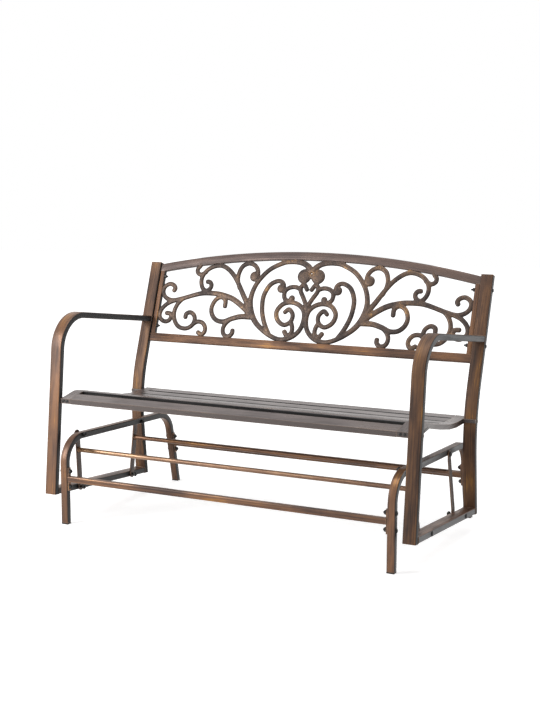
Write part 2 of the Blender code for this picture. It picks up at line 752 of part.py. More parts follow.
def swing_link(end, side_name, side, upper, lower, parent):
    """Flat bar that steps outward between its two eyes."""
    downward = (lower - upper).normalized()
    corners = (
        (0.0, 0.0),
        (LINK_FLAT_LENGTH, 0.0),
        (LINK_LENGTH - LINK_FLAT_LENGTH, side * (LINK_LOWER_X - LINK_UPPER_X)),
        (LINK_LENGTH, side * (LINK_LOWER_X - LINK_UPPER_X)),
    )
    mesh = swept_mesh(rounded_path(corners, LINK_BEND_RADIUS), LINK_SECTION)
    along = Vector((0, downward.x, downward.y))
    across = Vector((1, 0, 0))
    columns = Matrix((along, across, along.cross(across))).transposed().to_4x4()
    matrix = Matrix.Translation(side_point(side * LINK_UPPER_X, upper)) @ columns
    piece = add_piece(f"swing_link_{end}_{side_name}", mesh, matrix, parent, BRONZE)
    for place, point, x in (("upper", upper, LINK_UPPER_X), ("lower", lower, LINK_LOWER_X)):
        eye = rod_mesh(LINK_EYE_RADIUS, LINK_EYE_THICKNESS, ROUND_SIDES)
        cutter = add_cutter(f"{place}_eye_{end}_{side_name}", eye, across_matrix(side * x, point))
        add_boolean(piece, cutter, "UNION")
    lower_play = REAR_EYE_PLAY if end == "rear" else HOLE_PLAY
    radii = (hole_radius(UPPER_PIVOT_BOLT), hole_radius(LOWER_PIVOT_BOLT, lower_play))
    holes = hole_cutter(f"link_holes_{end}_{side_name}", list(zip((upper, lower), radii)))
    add_boolean(piece, holes, "DIFFERENCE")


def swing_rod(end, upper, lower, parent):
    """Round bar welded between the inner faces of a pair of links."""
    point = upper + (lower - upper).normalized() * ROD_DROP
    slope = (LINK_LOWER_X - LINK_UPPER_X) / (LINK_LENGTH - 2 * LINK_FLAT_LENGTH)
    strap_half = LINK_THICKNESS / 2 * math.hypot(1, slope)
    inner_face = LINK_UPPER_X + link_offset(ROD_DROP - ROD_DIAMETER / 2) - strap_half
    half = inner_face - TOUCH_GAP
    mesh = rod_mesh(ROD_DIAMETER / 2, 2 * half, ROUND_SIDES)
    add_piece(f"{end}_swing_rod", mesh, across_matrix(0.0, point), parent, COPPER)


def build_swings():
    ends = (
        ("front", FRONT_UPPER, FRONT_LOWER, FRONT_SWING),
        ("rear", REAR_UPPER, REAR_LOWER, REAR_SWING),
    )
    for end, upper, lower, parent in ends:
        for side_name, side in SIDES:
            swing_link(end, side_name, side, upper, lower, parent)
        swing_rod(end, upper, lower, parent)


# Gliding seat frame


def seat_height(y):
    """Height of the seat surface at a distance back."""
    for (y_before, h_before), (y_after, h_after) in zip(SEAT_PROFILE, SEAT_PROFILE[1:]):
        if y <= y_after:
            break
    return above_rail(h_before + (h_after - h_before) * (y - y_before) / (y_after - y_before))


def seat_top(front, back):
    """Points of the seat surface from front to back."""
    inside = [y for y, _ in SEAT_PROFILE if front + 0.004 < y < back - 0.004]
    return [Vector((y, seat_height(y))) for y in (front, *inside, back)]


def back_line(height):
    """Middle of the back post's upper straight at a height above the rail."""
    return BACK_CORNER_POINT + BACK_UP * ((above_rail(height) - BACK_CORNER_POINT.y) / BACK_UP.y)


def panel_point(height, setback):
    """Side-view point at a height up the panel, set back from the middle of the post."""
    rearward = Vector((BACK_UP.y, -BACK_UP.x))
    return back_line(PANEL_BASE_HEIGHT) + rearward * setback + BACK_UP * height


BACK_TOP = panel_point(ARCH_END_HEIGHT + POST_RISE_ABOVE_ARCH, 0.0)


def seat_bolt_points():
    front_z = above_rail(FRONT_SEAT_BOLT_HEIGHT)
    front = POST_FOOT_POINT + POST_UP * ((front_z - POST_FOOT_POINT.y) / POST_UP.y)
    front.x += FRONT_SEAT_BOLT_SETBACK
    rear = Vector((REAR_SEAT_BOLT, seat_height(REAR_SEAT_BOLT) - SIDE_BAR_HEIGHT / 2))
    return {"front": front, "rear": rear}


def panel_bolt_points():
    return {
        "lower": panel_point(PANEL_BOLT_LOWER, PANEL_BOLT_SETBACK),
        "upper": panel_point(PANEL_BOLT_UPPER, PANEL_BOLT_SETBACK),
    }


def frame_side_x(side):
    return side * (FRAME_OUTER + FRAME_INNER) / 2


def arm_tube(side_name, side):
    """Front post that bends back into the armrest."""
    foot = POST_FOOT_POINT - POST_UP * CUT_SPARE
    end = meeting(ARM_CORNER, ARM_BACK, BACK_CORNER_POINT, BACK_UP) + ARM_BACK * CUT_SPARE
    path = rounded_path((foot, ARM_CORNER, end), ARM_BEND_RADIUS)
    mesh = swept_mesh(path, FRAME_SECTION)
    trim(mesh, FOOT_CUT, -RAIL_UP)
    rearward = Vector((BACK_UP.y, -BACK_UP.x))
    trim(mesh, BACK_CORNER_POINT - rearward * (FRAME_TUBE_DEPTH / 2 + TOUCH_GAP), rearward)
    matrix = side_matrix(frame_side_x(side))
    piece = add_piece(f"arm_tube_{side_name}", mesh, matrix, GLIDER, BRONZE)
    holes = [(seat_bolt_points()["front"], hole_radius(SEAT_BOLT))]
    add_boolean(piece, hole_cutter(f"arm_tube_holes_{side_name}", holes), "DIFFERENCE")


def back_post(side_name, side):
    foot = meeting(BACK_CORNER_POINT, BACK_DOWN, FOOT_CUT, RAIL_BACK) + BACK_DOWN * CUT_SPARE
    path = rounded_path((foot, BACK_CORNER_POINT, BACK_TOP), BACK_BEND_RADIUS)
    mesh = swept_mesh(path, FRAME_SECTION)
    trim(mesh, FOOT_CUT, -RAIL_UP)
    matrix = side_matrix(frame_side_x(side))
    piece = add_piece(f"back_post_{side_name}", mesh, matrix, GLIDER, BRONZE)
    holes = [(seat_bolt_points()["rear"], hole_radius(SEAT_BOLT))]
    holes += [(point, hole_radius(PANEL_BOLT)) for point in panel_bolt_points().values()]
    add_boolean(piece, hole_cutter(f"back_post_holes_{side_name}", holes), "DIFFERENCE")
    cap = box_mesh((FRAME_TUBE_DEPTH, CAP_THICKNESS, FRAME_TUBE_WIDTH))
    centre = BACK_TOP + BACK_UP * (CAP_THICKNESS / 2 + TOUCH_GAP)
    turn = Matrix.Rotation(-BACK_UPPER_LEAN, 4, "Z")
    cap_matrix = across_matrix(frame_side_x(side), centre) @ turn
    cap_piece = add_piece(f"post_cap_{side_name}", cap, cap_matrix, GLIDER, BRONZE)
    add_bevel(cap_piece, TUBE_CORNER / 2)


def bottom_rail(side_name, side):
    """Rail between the feet of the two posts, which carries the lower pivots."""
    half = FRAME_TUBE_DEPTH / 2 + TOUCH_GAP
    start = POST_FOOT_POINT - RAIL_BACK * CUT_SPARE
    end = meeting(POST_FOOT_POINT, RAIL_BACK, BACK_CORNER_POINT, BACK_DOWN) + RAIL_BACK * CUT_SPARE
    mesh = swept_mesh((start, end), FRAME_SECTION)
    post_rear = Vector((POST_UP.y, -POST_UP.x))
    trim(mesh, POST_FOOT_POINT + post_rear * half, -post_rear)
    post_front = Vector((BACK_DOWN.y, -BACK_DOWN.x))
    trim(mesh, BACK_CORNER_POINT + post_front * half, -post_front)
    matrix = side_matrix(frame_side_x(side))
    piece = add_piece(f"bottom_rail_{side_name}", mesh, matrix, GLIDER, BRONZE)
    holes = [(point, hole_radius(LOWER_PIVOT_BOLT)) for point in (FRONT_LOWER, REAR_LOWER)]
    add_boolean(piece, hole_cutter(f"bottom_rail_holes_{side_name}", holes), "DIFFERENCE")


BAR_OUTER = FRAME_INNER - TOUCH_GAP
BAR_INNER = BAR_OUTER - SIDE_BAR_WIDTH
SEAT_BACK_EDGE = SEAT_PROFILE[-1][0]


def seat_side_bar(side_name, side):
    """Bar along the end of the seat, with a thin plate down from its outer edge near the front."""
    top = seat_top(SIDE_BAR_FRONT, SEAT_BACK_EDGE)
    under = [point - Vector((0, SIDE_BAR_HEIGHT)) for point in top]
    mesh = plate_mesh([top + under[::-1]], SIDE_BAR_WIDTH)
    matrix = side_matrix(side * (BAR_OUTER + BAR_INNER) / 2)
    piece = add_piece(f"seat_side_bar_{side_name}", mesh, matrix, GLIDER, SEAT_STEEL)
    inside = [point - Vector((0, SIDE_BAR_HEIGHT / 2)) for point in seat_top(*GUSSET_TOP)]
    front, back = (point - Vector((0, SIDE_BAR_HEIGHT / 2)) for point in (inside[0], inside[-1]))
    foot = [Vector((y, above_rail(GUSSET_BOTTOM))) for y in GUSSET_FOOT]
    gusset = plate_mesh([[*inside, back, *foot[::-1], front]], GUSSET_THICKNESS)
    gusset_matrix = side_matrix(side * (BAR_OUTER - GUSSET_INSET - GUSSET_THICKNESS / 2))
    add_boolean(piece, add_cutter(f"gusset_{side_name}", gusset, gusset_matrix), "UNION")
    holes = [(point, hole_radius(SEAT_BOLT)) for point in seat_bolt_points().values()]
    add_boolean(piece, hole_cutter(f"side_bar_holes_{side_name}", holes), "DIFFERENCE")


def slat(name, front, back, lip=False):
    top = seat_top(front, back)
    under = [point - Vector((0, SLAT_THICKNESS)) for point in reversed(top)]
    if lip:
        lip_bottom = top[0].y - FRONT_LIP_DROP
        lip_back = front + FRONT_LIP_THICKNESS
        under = [point for point in under if point.x > lip_back + 0.004]
        under.append(Vector((lip_back, seat_height(lip_back) - SLAT_THICKNESS)))
        under += [Vector((lip_back, lip_bottom)), Vector((front, lip_bottom))]
    mesh = plate_mesh([top + under], 2 * (BAR_INNER - TOUCH_GAP))
    piece = add_piece(name, mesh, side_matrix(0.0), GLIDER, SEAT_STEEL)
    add_bevel(piece, SLAT_EDGE)


def build_seat():
    for side_name, side in SIDES:
        seat_side_bar(side_name, side)
    slat("seat_slat_1_front", FRONT_SLAT_FRONT, FRONT_SLAT_BACK, lip=True)
    for index in range(SLAT_COUNT):
        front = SECOND_SLAT_FRONT + index * (SLAT_WIDTH + SLAT_SLOT)
        slat(f"seat_slat_{index + 2}", front, front + SLAT_WIDTH)
    slat(f"seat_slat_{SLAT_COUNT + 2}_rear", SEAT_BACK_EDGE - REAR_SLAT_WIDTH, SEAT_BACK_EDGE)


PANEL_HALF = FRAME_INNER - TOUCH_GAP
PANEL_INSIDE = PANEL_HALF - PANEL_SIDE_WIDTH
ARCH_RADIUS = (PANEL_HALF**2 + ARCH_RISE**2) / (2 * ARCH_RISE)


def arch_height(x, below=0.0):
    """Height of the top of the arch, or of a line below it, at a distance from the middle."""
    return ARCH_CENTRE_HEIGHT - ARCH_RADIUS + math.sqrt((ARCH_RADIUS - below) ** 2 - x**2)


def arch_outline(half, foot, below):
    xs = [half * (1 - 2 * step / ARCH_STEPS) for step in range(ARCH_STEPS + 1)]
    return [(-half, foot), (half, foot), *((x, arch_height(x, below)) for x in xs)]


def back_panel():
    """Arched frame, and the cast scrollwork that fills it."""
    matrix = panel_matrix()
    outer = arch_outline(PANEL_HALF, -PANEL_RAIL_WIDTH, 0.0)
    inner = arch_outline(PANEL_INSIDE, 0.0, PANEL_RAIL_WIDTH)
    mesh = plate_mesh([outer, inner], PANEL_DEPTH)
    frame = add_piece("back_panel_frame", mesh, matrix, GLIDER, BRONZE)
    holes = [(point, hole_radius(PANEL_BOLT)) for point in panel_bolt_points().values()]
    add_bevel(frame, TUBE_CORNER * 0.7)
    add_boolean(frame, hole_cutter("panel_holes", holes), "DIFFERENCE")


def smooth_stroke(points):
    """Points along a smooth line through a stroke's points, close together where it turns."""
    ends = [2 * points[0] - points[1], *points, 2 * points[-1] - points[-2]]
    fine = []
    for p0, p1, p2, p3 in zip(ends, ends[1:], ends[2:], ends[3:]):
        for step in range(8):
            t = step / 8
            bend = (2 * p0 - 5 * p1 + 4 * p2 - p3) * t**2 + (3 * p1 - p0 - 3 * p2 + p3) * t**3
            fine.append(0.5 * (2 * p1 + (p2 - p0) * t + bend))
    fine.append(points[-1])
    kept = [fine[0]]
    turned = 0.0
    for before, here, after in zip(fine, fine[1:], fine[2:]):
        turned += (here - before).xy.angle((after - here).xy, 0.0)
        if turned > SCROLL_TURN or (here - kept[-1]).xy.length > SCROLL_STEP:
            kept.append(here)
            turned = 0.0
    kept.append(fine[-1])
    return kept


def scroll_place(side, across, up):
    """Point of the panel for a point of the scrollwork's grid."""
    top = ARCH_CENTRE_HEIGHT - PANEL_RAIL_WIDTH
    return Vector((side * PANEL_INSIDE * across / SCROLL_UNITS_ACROSS, top * up / SCROLL_UNITS_UP, 0.0))


def scroll_pieces(side):
    """Matrices and meshes of one half of the scrollwork."""
    pieces = []
    for points in SCROLL_STROKES.values():
        placed = [scroll_place(side, across, up) + Vector((0, 0, wide)) for across, up, wide in points]
        line = smooth_stroke(placed)
        mesh = swept_mesh([point.xy for point in line], SCROLL_SECTION, [point.z for point in line])
        pieces.append((Matrix(), mesh))
    for across, up, wide in SCROLL_BALLS:
        ball = rod_mesh(SCROLL_RADIUS * wide, SCROLL_DEPTH * 0.95, ROUND_SIDES)
        pieces.append((Matrix.Translation(scroll_place(side, across, up)), ball))
    disc = rod_mesh(DISC_RADIUS, SCROLL_DEPTH * 0.9, 20)
    place = Vector((side * DISC_SPACING / 2, scroll_place(side, 0, DISC_UP).y, 0))
    pieces.append((Matrix.Translation(place), disc))
    for across, up in ARCH_PADS:
        pad = box_mesh((PAD_WIDTH, PAD_HEIGHT, SCROLL_DEPTH * 0.7))
        pieces.append((Matrix.Translation(scroll_place(side, across, up)), pad))
    return pieces


def scroll_casting():
    matrix = panel_matrix() @ Matrix.Translation((0, 0, SCROLL_FORWARD))
    strokes = bpy.data.collections.new("scroll_strokes")
    CUTTERS.children.link(strokes)
    pieces = scroll_pieces(-1) + scroll_pieces(1)
    stem = box_mesh((SCROLL_RADIUS, STEM_LENGTH, SCROLL_DEPTH * 0.8))
    pieces.append((Matrix.Translation(scroll_place(1, 0, STEM_UP)), stem))
    for index, (place, mesh) in enumerate(pieces[1:]):
        cutter = add_cutter(f"stroke_{index + 1}", mesh, matrix @ place)
        CUTTERS.objects.unlink(cutter)
        strokes.objects.link(cutter)
    piece = add_piece("back_scroll_casting", pieces[0][1], matrix, GLIDER, CAST_BRONZE)
    union = piece.modifiers.new("joined", "BOOLEAN")
    union.operation = "UNION"
    union.solver = "EXACT"
    union.operand_type = "COLLECTION"
    union.collection = strokes
    opening = plate_mesh(
        [arch_outline(PANEL_INSIDE - TOUCH_GAP, TOUCH_GAP, PANEL_RAIL_WIDTH + TOUCH_GAP)], 4 * SCROLL_DEPTH
    )
    add_boolean(piece, add_cutter("scroll_opening", opening, matrix), "INTERSECT")


def build_glider():
    for side_name, side in SIDES:
        arm_tube(side_name, side)
        back_post(side_name, side)
        bottom_rail(side_name, side)
        for end, point in (("front", FRONT_LOWER), ("rear", REAR_LOWER)):
            name = f"lower_pivot_bolt_{end}_{side_name}"
            inner = LINK_LOWER_X - LINK_EYE_THICKNESS / 2
            add_bolt(name, LOWER_PIVOT_BOLT, point, inner, FRAME_OUTER, side, GLIDER)
        for end, point in seat_bolt_points().items():
            name = f"seat_bolt_{end}_{side_name}"
            add_bolt(name, SEAT_BOLT, point, BAR_OUTER - SEAT_BOLT_REACH, FRAME_OUTER, side, GLIDER)
        for place, point in panel_bolt_points().items():
            name = f"panel_bolt_{place}_{side_name}"
            add_bolt(name, PANEL_BOLT, point, PANEL_INSIDE, FRAME_OUTER, side, GLIDER)
    build_seat()
    back_panel()
    scroll_casting()


build_base()
build_swings()
build_glider()
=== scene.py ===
"""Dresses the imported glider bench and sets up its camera, floor and lights."""

import json
import math

import bmesh
import bpy
from mathutils import Matrix, Vector


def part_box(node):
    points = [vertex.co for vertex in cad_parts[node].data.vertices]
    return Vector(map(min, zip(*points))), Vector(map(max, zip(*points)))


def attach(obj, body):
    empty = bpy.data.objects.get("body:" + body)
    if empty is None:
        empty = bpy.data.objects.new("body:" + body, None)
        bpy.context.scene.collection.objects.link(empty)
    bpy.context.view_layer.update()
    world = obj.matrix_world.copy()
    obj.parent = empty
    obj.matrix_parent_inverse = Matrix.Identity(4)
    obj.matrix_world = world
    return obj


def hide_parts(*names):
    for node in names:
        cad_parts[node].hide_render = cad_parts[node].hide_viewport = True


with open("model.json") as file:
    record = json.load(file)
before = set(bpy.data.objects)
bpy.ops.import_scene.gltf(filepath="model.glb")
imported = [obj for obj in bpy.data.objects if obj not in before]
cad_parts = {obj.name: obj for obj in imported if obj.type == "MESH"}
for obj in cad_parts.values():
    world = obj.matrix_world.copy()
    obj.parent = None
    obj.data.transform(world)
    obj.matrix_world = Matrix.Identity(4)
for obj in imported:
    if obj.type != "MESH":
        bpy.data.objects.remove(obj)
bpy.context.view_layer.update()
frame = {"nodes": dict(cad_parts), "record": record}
NODES = frame["nodes"]
JOINTS = {joint["name"]: joint for joint in frame["record"]["behaviour"]["joints"]}
SIDES = (("left", -1), ("right", 1))
GAP = 0.0003
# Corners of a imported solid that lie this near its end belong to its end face
END_BAND = 0.002

# Tube sections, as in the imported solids: width across the bench, depth, and corner radius
FRAME_TUBE = (0.041, 0.020, 0.0035)
BASE_TUBE = (0.025, 0.020, 0.0035)
RAIL_TUBE = (0.029, 0.016, 0.0030)
SIDE_TUBE = (0.0175, 0.0158, 0.0030)
CORNER_STEPS = 4
BEND_STEP = math.radians(3)

# The bench from the side: z up, and y back from the front of the front post's foot.
# SHIFT is how much smaller y is in the frame.
FRONT_PIVOT = 0.0968
SHIFT = FRONT_PIVOT - JOINTS["front_swing_pivot"]["pos_m"][1]
BASE_LEG = 0.009
BASE_RAIL_Z = 0.2795
BASE_RAIL_TILT = math.radians(1.63)
BASE_REAR = 0.6325
BASE_REAR_LEAN = math.radians(12.35)
BASE_BEND = 0.080
FOOT_Z = 0.0053
RAIL_Z = 0.1033
RAIL_TILT = math.radians(3.98)
POST_FOOT = 0.0095
POST_LEAN = math.radians(5.7)
ARM_Z = 0.5706
ARM_TILT = math.radians(7.1)
ARM_BEND = 0.110
BACK_CORNER = Vector((0.5108, 0.2528 + RAIL_Z))
BACK_LOWER_LEAN = math.radians(-6.3)
BACK_UPPER_LEAN = math.radians(18.85)
BACK_BEND = 0.550


# Materials

CHARCOAL = (0.016, 0.015, 0.015)
# Colour of the lighter edges: part wear, part painted highlight
EDGE_WEAR_AND_HIGHLIGHT = (0.38, 0.26, 0.18)
EDGE_RADIUS = 0.0028
SIDE_BLEND = 0.28
STREAK_RELIEF = 0.0002
# Cells of noise per metre: along and across a straight piece, then every way in a casting, and in all coats
PATCH_CELLS = (5.5, 22.0)
STREAK_CELLS = (6.0, 250.0)
CAST_PATCH_CELLS = 17.0
CAST_STREAK_CELLS = 240.0
GRAIN_CELLS = 900.0


def new_material(name):
    material = bpy.data.materials.new(name)
    material.use_nodes = True
    return material, material.node_tree, material.node_tree.nodes["Principled BSDF"]


def noise(tree, vector, cells, detail=4.0, roughness=0.55):
    """Noise with so many cells per metre each way."""
    mapping = tree.nodes.new("ShaderNodeMapping")
    mapping.inputs["Scale"].default_value = cells
    tree.links.new(vector, mapping.inputs["Vector"])
    texture = tree.nodes.new("ShaderNodeTexNoise")
    texture.inputs["Scale"].default_value = 1.0
    texture.inputs["Detail"].default_value = detail
    texture.inputs["Roughness"].default_value = roughness
    tree.links.new(mapping.outputs["Vector"], texture.inputs["Vector"])
    return texture.outputs["Fac"]


def ramp(tree, value, low, high, bottom=0.0, top=1.0):
    """Smooth step of a value from low to high."""
    node = tree.nodes.new("ShaderNodeMapRange")
    node.interpolation_type = "SMOOTHSTEP"
    node.inputs["From Min"].default_value = low
    node.inputs["From Max"].default_value = high
    node.inputs["To Min"].default_value = bottom
    node.inputs["To Max"].default_value = top
    tree.links.new(value, node.inputs["Value"])
    return node.outputs["Result"]


def math_node(tree, operation, first, second):
    node = tree.nodes.new("ShaderNodeMath")
    node.operation = operation
    for socket, value in zip(node.inputs, (first, second)):
        if isinstance(value, (int, float)):
            socket.default_value = value
        else:
            tree.links.new(value, socket)
    return node.outputs["Value"]


def mix(tree, factor, first, second):
    node = tree.nodes.new("ShaderNodeMix")
    node.data_type = "RGBA"
    tree.links.new(factor, node.inputs["Factor"])
    for socket, value in ((node.inputs["A"], first), (node.inputs["B"], second)):
        if isinstance(value, tuple):
            socket.default_value = (*value, 1.0)
        else:
            tree.links.new(value, socket)
    return node.outputs["Result"]


def edge_mask(tree, radius):
    """Where a rounded normal leaves the true one: along the raised edges."""
    bevel = tree.nodes.new("ShaderNodeBevel")
    bevel.samples = 6
    bevel.inputs["Radius"].default_value = radius
    geometry = tree.nodes.new("ShaderNodeNewGeometry")
    dot = tree.nodes.new("ShaderNodeVectorMath")
    dot.operation = "DOT_PRODUCT"
    tree.links.new(bevel.outputs["Normal"], dot.inputs[0])
    tree.links.new(geometry.outputs["Normal"], dot.inputs[1])
    return ramp(tree, dot.outputs["Value"], 0.998, 0.90)


def unbrushed_and_shaded_sides(tree, coordinates, colour, axes, plain, reach):
    """The coat keeps a plain colour on the faces that look along some axes. On the frame this is an unbrushed
    coat where the brush didn't reach; on the seat's slots, lip and bars it is painted shade.
    """
    split = tree.nodes.new("ShaderNodeSeparateXYZ")
    tree.links.new(coordinates.outputs["Normal"], split.inputs["Vector"])
    sideways = 0.0
    for axis in axes:
        facing = math_node(tree, "ABSOLUTE", split.outputs[axis], 0.0)
        sideways = math_node(tree, "MAXIMUM", facing, sideways)
    return mix(tree, ramp(tree, sideways, reach, reach + SIDE_BLEND), colour, plain)


def lengthwise(cells, along):
    """Cells each way for a piece that runs along X, Y or Z, or along the U of its UV map."""
    slow, fast = cells
    if along == "UV":
        return slow, fast, 1.0
    return [slow if axis == along else fast for axis in "XYZ"]


def brushed_coat(
    name, colours, along, gold_share=0.5, metallic=0.35, roughness=0.37, edges=0.7, sides="X", plain=CHARCOAL,
    reach=0.55, specular=0.42, relief=0.2,
):
    """Dark coat brushed with copper: soft patches, faint streaks along the piece, and lighter edges that are
    part wear and part painted highlight.

    colours are dark, brown, copper and gold. along is X, Y or Z for a straight piece, UV for one whose
    UV map runs along it, and empty for a casting, which has blotches and no streaks. sides has the axes that
    the plain faces look along, plain is their colour (an unbrushed coat on the frame, painted shade on the
    seat), and a low reach takes in rounded edges.
    """
    dark, brown, copper, gold = colours
    material, tree, shader = new_material(name)
    coordinates = tree.nodes.new("ShaderNodeTexCoord")
    place = coordinates.outputs["Object"]
    lined = coordinates.outputs["UV"] if along == "UV" else place
    if along:
        patch_cells, streak_cells = lengthwise(PATCH_CELLS, along), lengthwise(STREAK_CELLS, along)
    else:
        patch_cells, streak_cells = (CAST_PATCH_CELLS,) * 3, (CAST_STREAK_CELLS,) * 3
    patches = noise(tree, lined, patch_cells)
    streaks = noise(tree, lined, streak_cells, 3.0, 0.6)
    grain = noise(tree, place, (GRAIN_CELLS,) * 3, 1.0, 0.5)
    shade = math_node(tree, "ADD", patches, ramp(tree, streaks, 0.30, 0.70, -0.10, 0.10))
    shade = math_node(tree, "ADD", shade, ramp(tree, grain, 0.30, 0.70, -0.02, 0.02))
    colour = mix(tree, ramp(tree, shade, 0.30, 0.46), dark, brown)
    colour = mix(tree, ramp(tree, shade, 0.44, 0.62), colour, copper)
    colour = mix(tree, ramp(tree, shade, 0.70 - 0.14 * gold_share, 0.86 - 0.20 * gold_share), colour, gold)
    # Faces along the side axes take the plain colour: unbrushed coat on the frame, painted shade on the seat
    if sides:
        colour = unbrushed_and_shaded_sides(tree, coordinates, colour, sides, plain, reach)
    # The edges lighten by the edges factor: part wear, part painted highlight
    wear_and_highlight = ramp(tree, patches, 0.35, 0.65, 0.35 * edges, edges)
    rim = math_node(tree, "MULTIPLY", edge_mask(tree, EDGE_RADIUS), wear_and_highlight)
    colour = mix(tree, rim, colour, EDGE_WEAR_AND_HIGHLIGHT)
    tree.links.new(colour, shader.inputs["Base Color"])
    shader.inputs["Metallic"].default_value = metallic
    shader.inputs["Specular IOR Level"].default_value = specular
    dullness = ramp(tree, shade, 0.3, 0.7, roughness + 0.08, roughness - 0.06)
    tree.links.new(dullness, shader.inputs["Roughness"])
    bump = tree.nodes.new("ShaderNodeBump")
    bump.inputs["Strength"].default_value = relief
    bump.inputs["Distance"].default_value = STREAK_RELIEF
    tree.links.new(streaks, bump.inputs["Height"])
    tree.links.new(bump.outputs["Normal"], shader.inputs["Normal"])
    return material


# The coats' colours, as dark, brown, copper and gold
BRONZE_COLOURS = ((0.052, 0.030, 0.023), (0.108, 0.056, 0.034), (0.185, 0.090, 0.045), (0.34, 0.160, 0.042))
# A darker copy of the bronze colours: painted shade
SHADED_BRONZE_COLOURS = ((0.040, 0.024, 0.018), (0.080, 0.042, 0.026), (0.145, 0.073, 0.036), (0.30, 0.145, 0.038))
ARCH_COLOURS = ((0.050, 0.034, 0.030), (0.075, 0.050, 0.043), (0.110, 0.072, 0.058), (0.19, 0.115, 0.075))
COPPER_COLOURS = ((0.100, 0.056, 0.038), (0.20, 0.112, 0.068), (0.33, 0.195, 0.115), (0.44, 0.26, 0.13))
SEAT_COLOURS = ((0.090, 0.073, 0.070), (0.125, 0.101, 0.096), (0.160, 0.127, 0.118), (0.21, 0.16, 0.13))
CAST_COLOURS = ((0.028, 0.021, 0.019), (0.056, 0.039, 0.032), (0.105, 0.066, 0.045), (0.27, 0.150, 0.060))
# Black of the bolts, also used as painted shade on the seat bars
STEEL_AND_SHADE_COLOURS = ((0.007, 0.006, 0.006), (0.012, 0.011, 0.010), (0.020, 0.017, 0.015), (0.050, 0.036, 0.026))
PLASTIC_COLOURS = ((0.022, 0.016, 0.013), (0.030, 0.022, 0.017), (0.040, 0.029, 0.022), (0.06, 0.04, 0.03))
# Colours of the faces between the slats and under the front of the seat, which are painted shade, and the
# plain colour of the faces beside the links
# Painted shade in the slots between the slats
SLOT_PAINTED_SHADE = (0.010, 0.009, 0.009)
# Painted shade on the front of the lip and on the seat bars' faces
SEAT_FACE_PAINTED_SHADE = (0.072, 0.056, 0.051)
LINK_SIDE = (0.060, 0.042, 0.036)
SOFT_GLOSS = {"metallic": 0.15, "roughness": 0.48, "specular": 0.25}
SEAT_GLOSS = {"gold_share": 0.1, "roughness": 0.32, "specular": 0.55, "relief": 0.05}

BRONZE = brushed_coat("antique_bronze", BRONZE_COLOURS, "UV")
PANEL_BRONZE = brushed_coat("antique_bronze_panel", BRONZE_COLOURS, "UV", gold_share=0.6, **SOFT_GLOSS)
# The darker copy of the bronze: painted shade
BRONZE_PAINTED_SHADE = brushed_coat("antique_bronze_painted_shade", SHADED_BRONZE_COLOURS, "UV", **SOFT_GLOSS)
# The arch's high edges factor paints a stronger highlight along its edges, along with the wear
ARCH_BRONZE = brushed_coat("antique_bronze_arch", ARCH_COLOURS, "UV", gold_share=0.1, edges=0.9)
BRONZE_ALONG = {
    "X": brushed_coat("antique_bronze_x", BRONZE_COLOURS, "X", sides=""),
    "Z": brushed_coat("antique_bronze_z", BRONZE_COLOURS, "Z"),
}
ROD_COATS = {
    "front": brushed_coat("brushed_copper", COPPER_COLOURS, "X", metallic=0.5, roughness=0.34, sides=""),
    # The rear rod takes the darker bronze colours in place of the copper: painted shade
    "rear": brushed_coat("rear_copper_painted_shade", BRONZE_COLOURS, "X", metallic=0.5, roughness=0.34, sides=""),
}
# The slats' front and rear faces take near-black painted shade, where shade falls in the slots between them
SLAT_COAT = brushed_coat(
    "seat_grey_slats", SEAT_COLOURS, "X", edges=0.0, sides="Y", plain=SLOT_PAINTED_SHADE, reach=0.26, **SEAT_GLOSS
)
# The lip's front face and the seat bars' side, front and rear faces take a darker colour: painted shade
LIP_COAT = brushed_coat("seat_grey_lip", SEAT_COLOURS, "X", sides="Y", plain=SEAT_FACE_PAINTED_SHADE, **SEAT_GLOSS)
SEAT_BAR_COAT = brushed_coat(
    "seat_grey_bars", SEAT_COLOURS, "Y", edges=0.6, sides="XY", plain=SEAT_FACE_PAINTED_SHADE, **SEAT_GLOSS
)
LINK_COAT = brushed_coat("antique_bronze_links", BRONZE_COLOURS, "UV", plain=LINK_SIDE)
CAST = brushed_coat("cast_bronze", CAST_COLOURS, "", gold_share=0.45, roughness=0.44, sides="", specular=0.3)
# Black for the bolts, and painted shade for the marks on the seat bars
BLACK = brushed_coat("blackened_steel", STEEL_AND_SHADE_COLOURS, "", gold_share=0.1, metallic=0.2, edges=0.0, sides="")
PLASTIC = brushed_coat(
    "bronze_plastic", PLASTIC_COLOURS, "", gold_share=0.0, metallic=0.0, edges=0.1, sides=""
)


# Mesh helpers


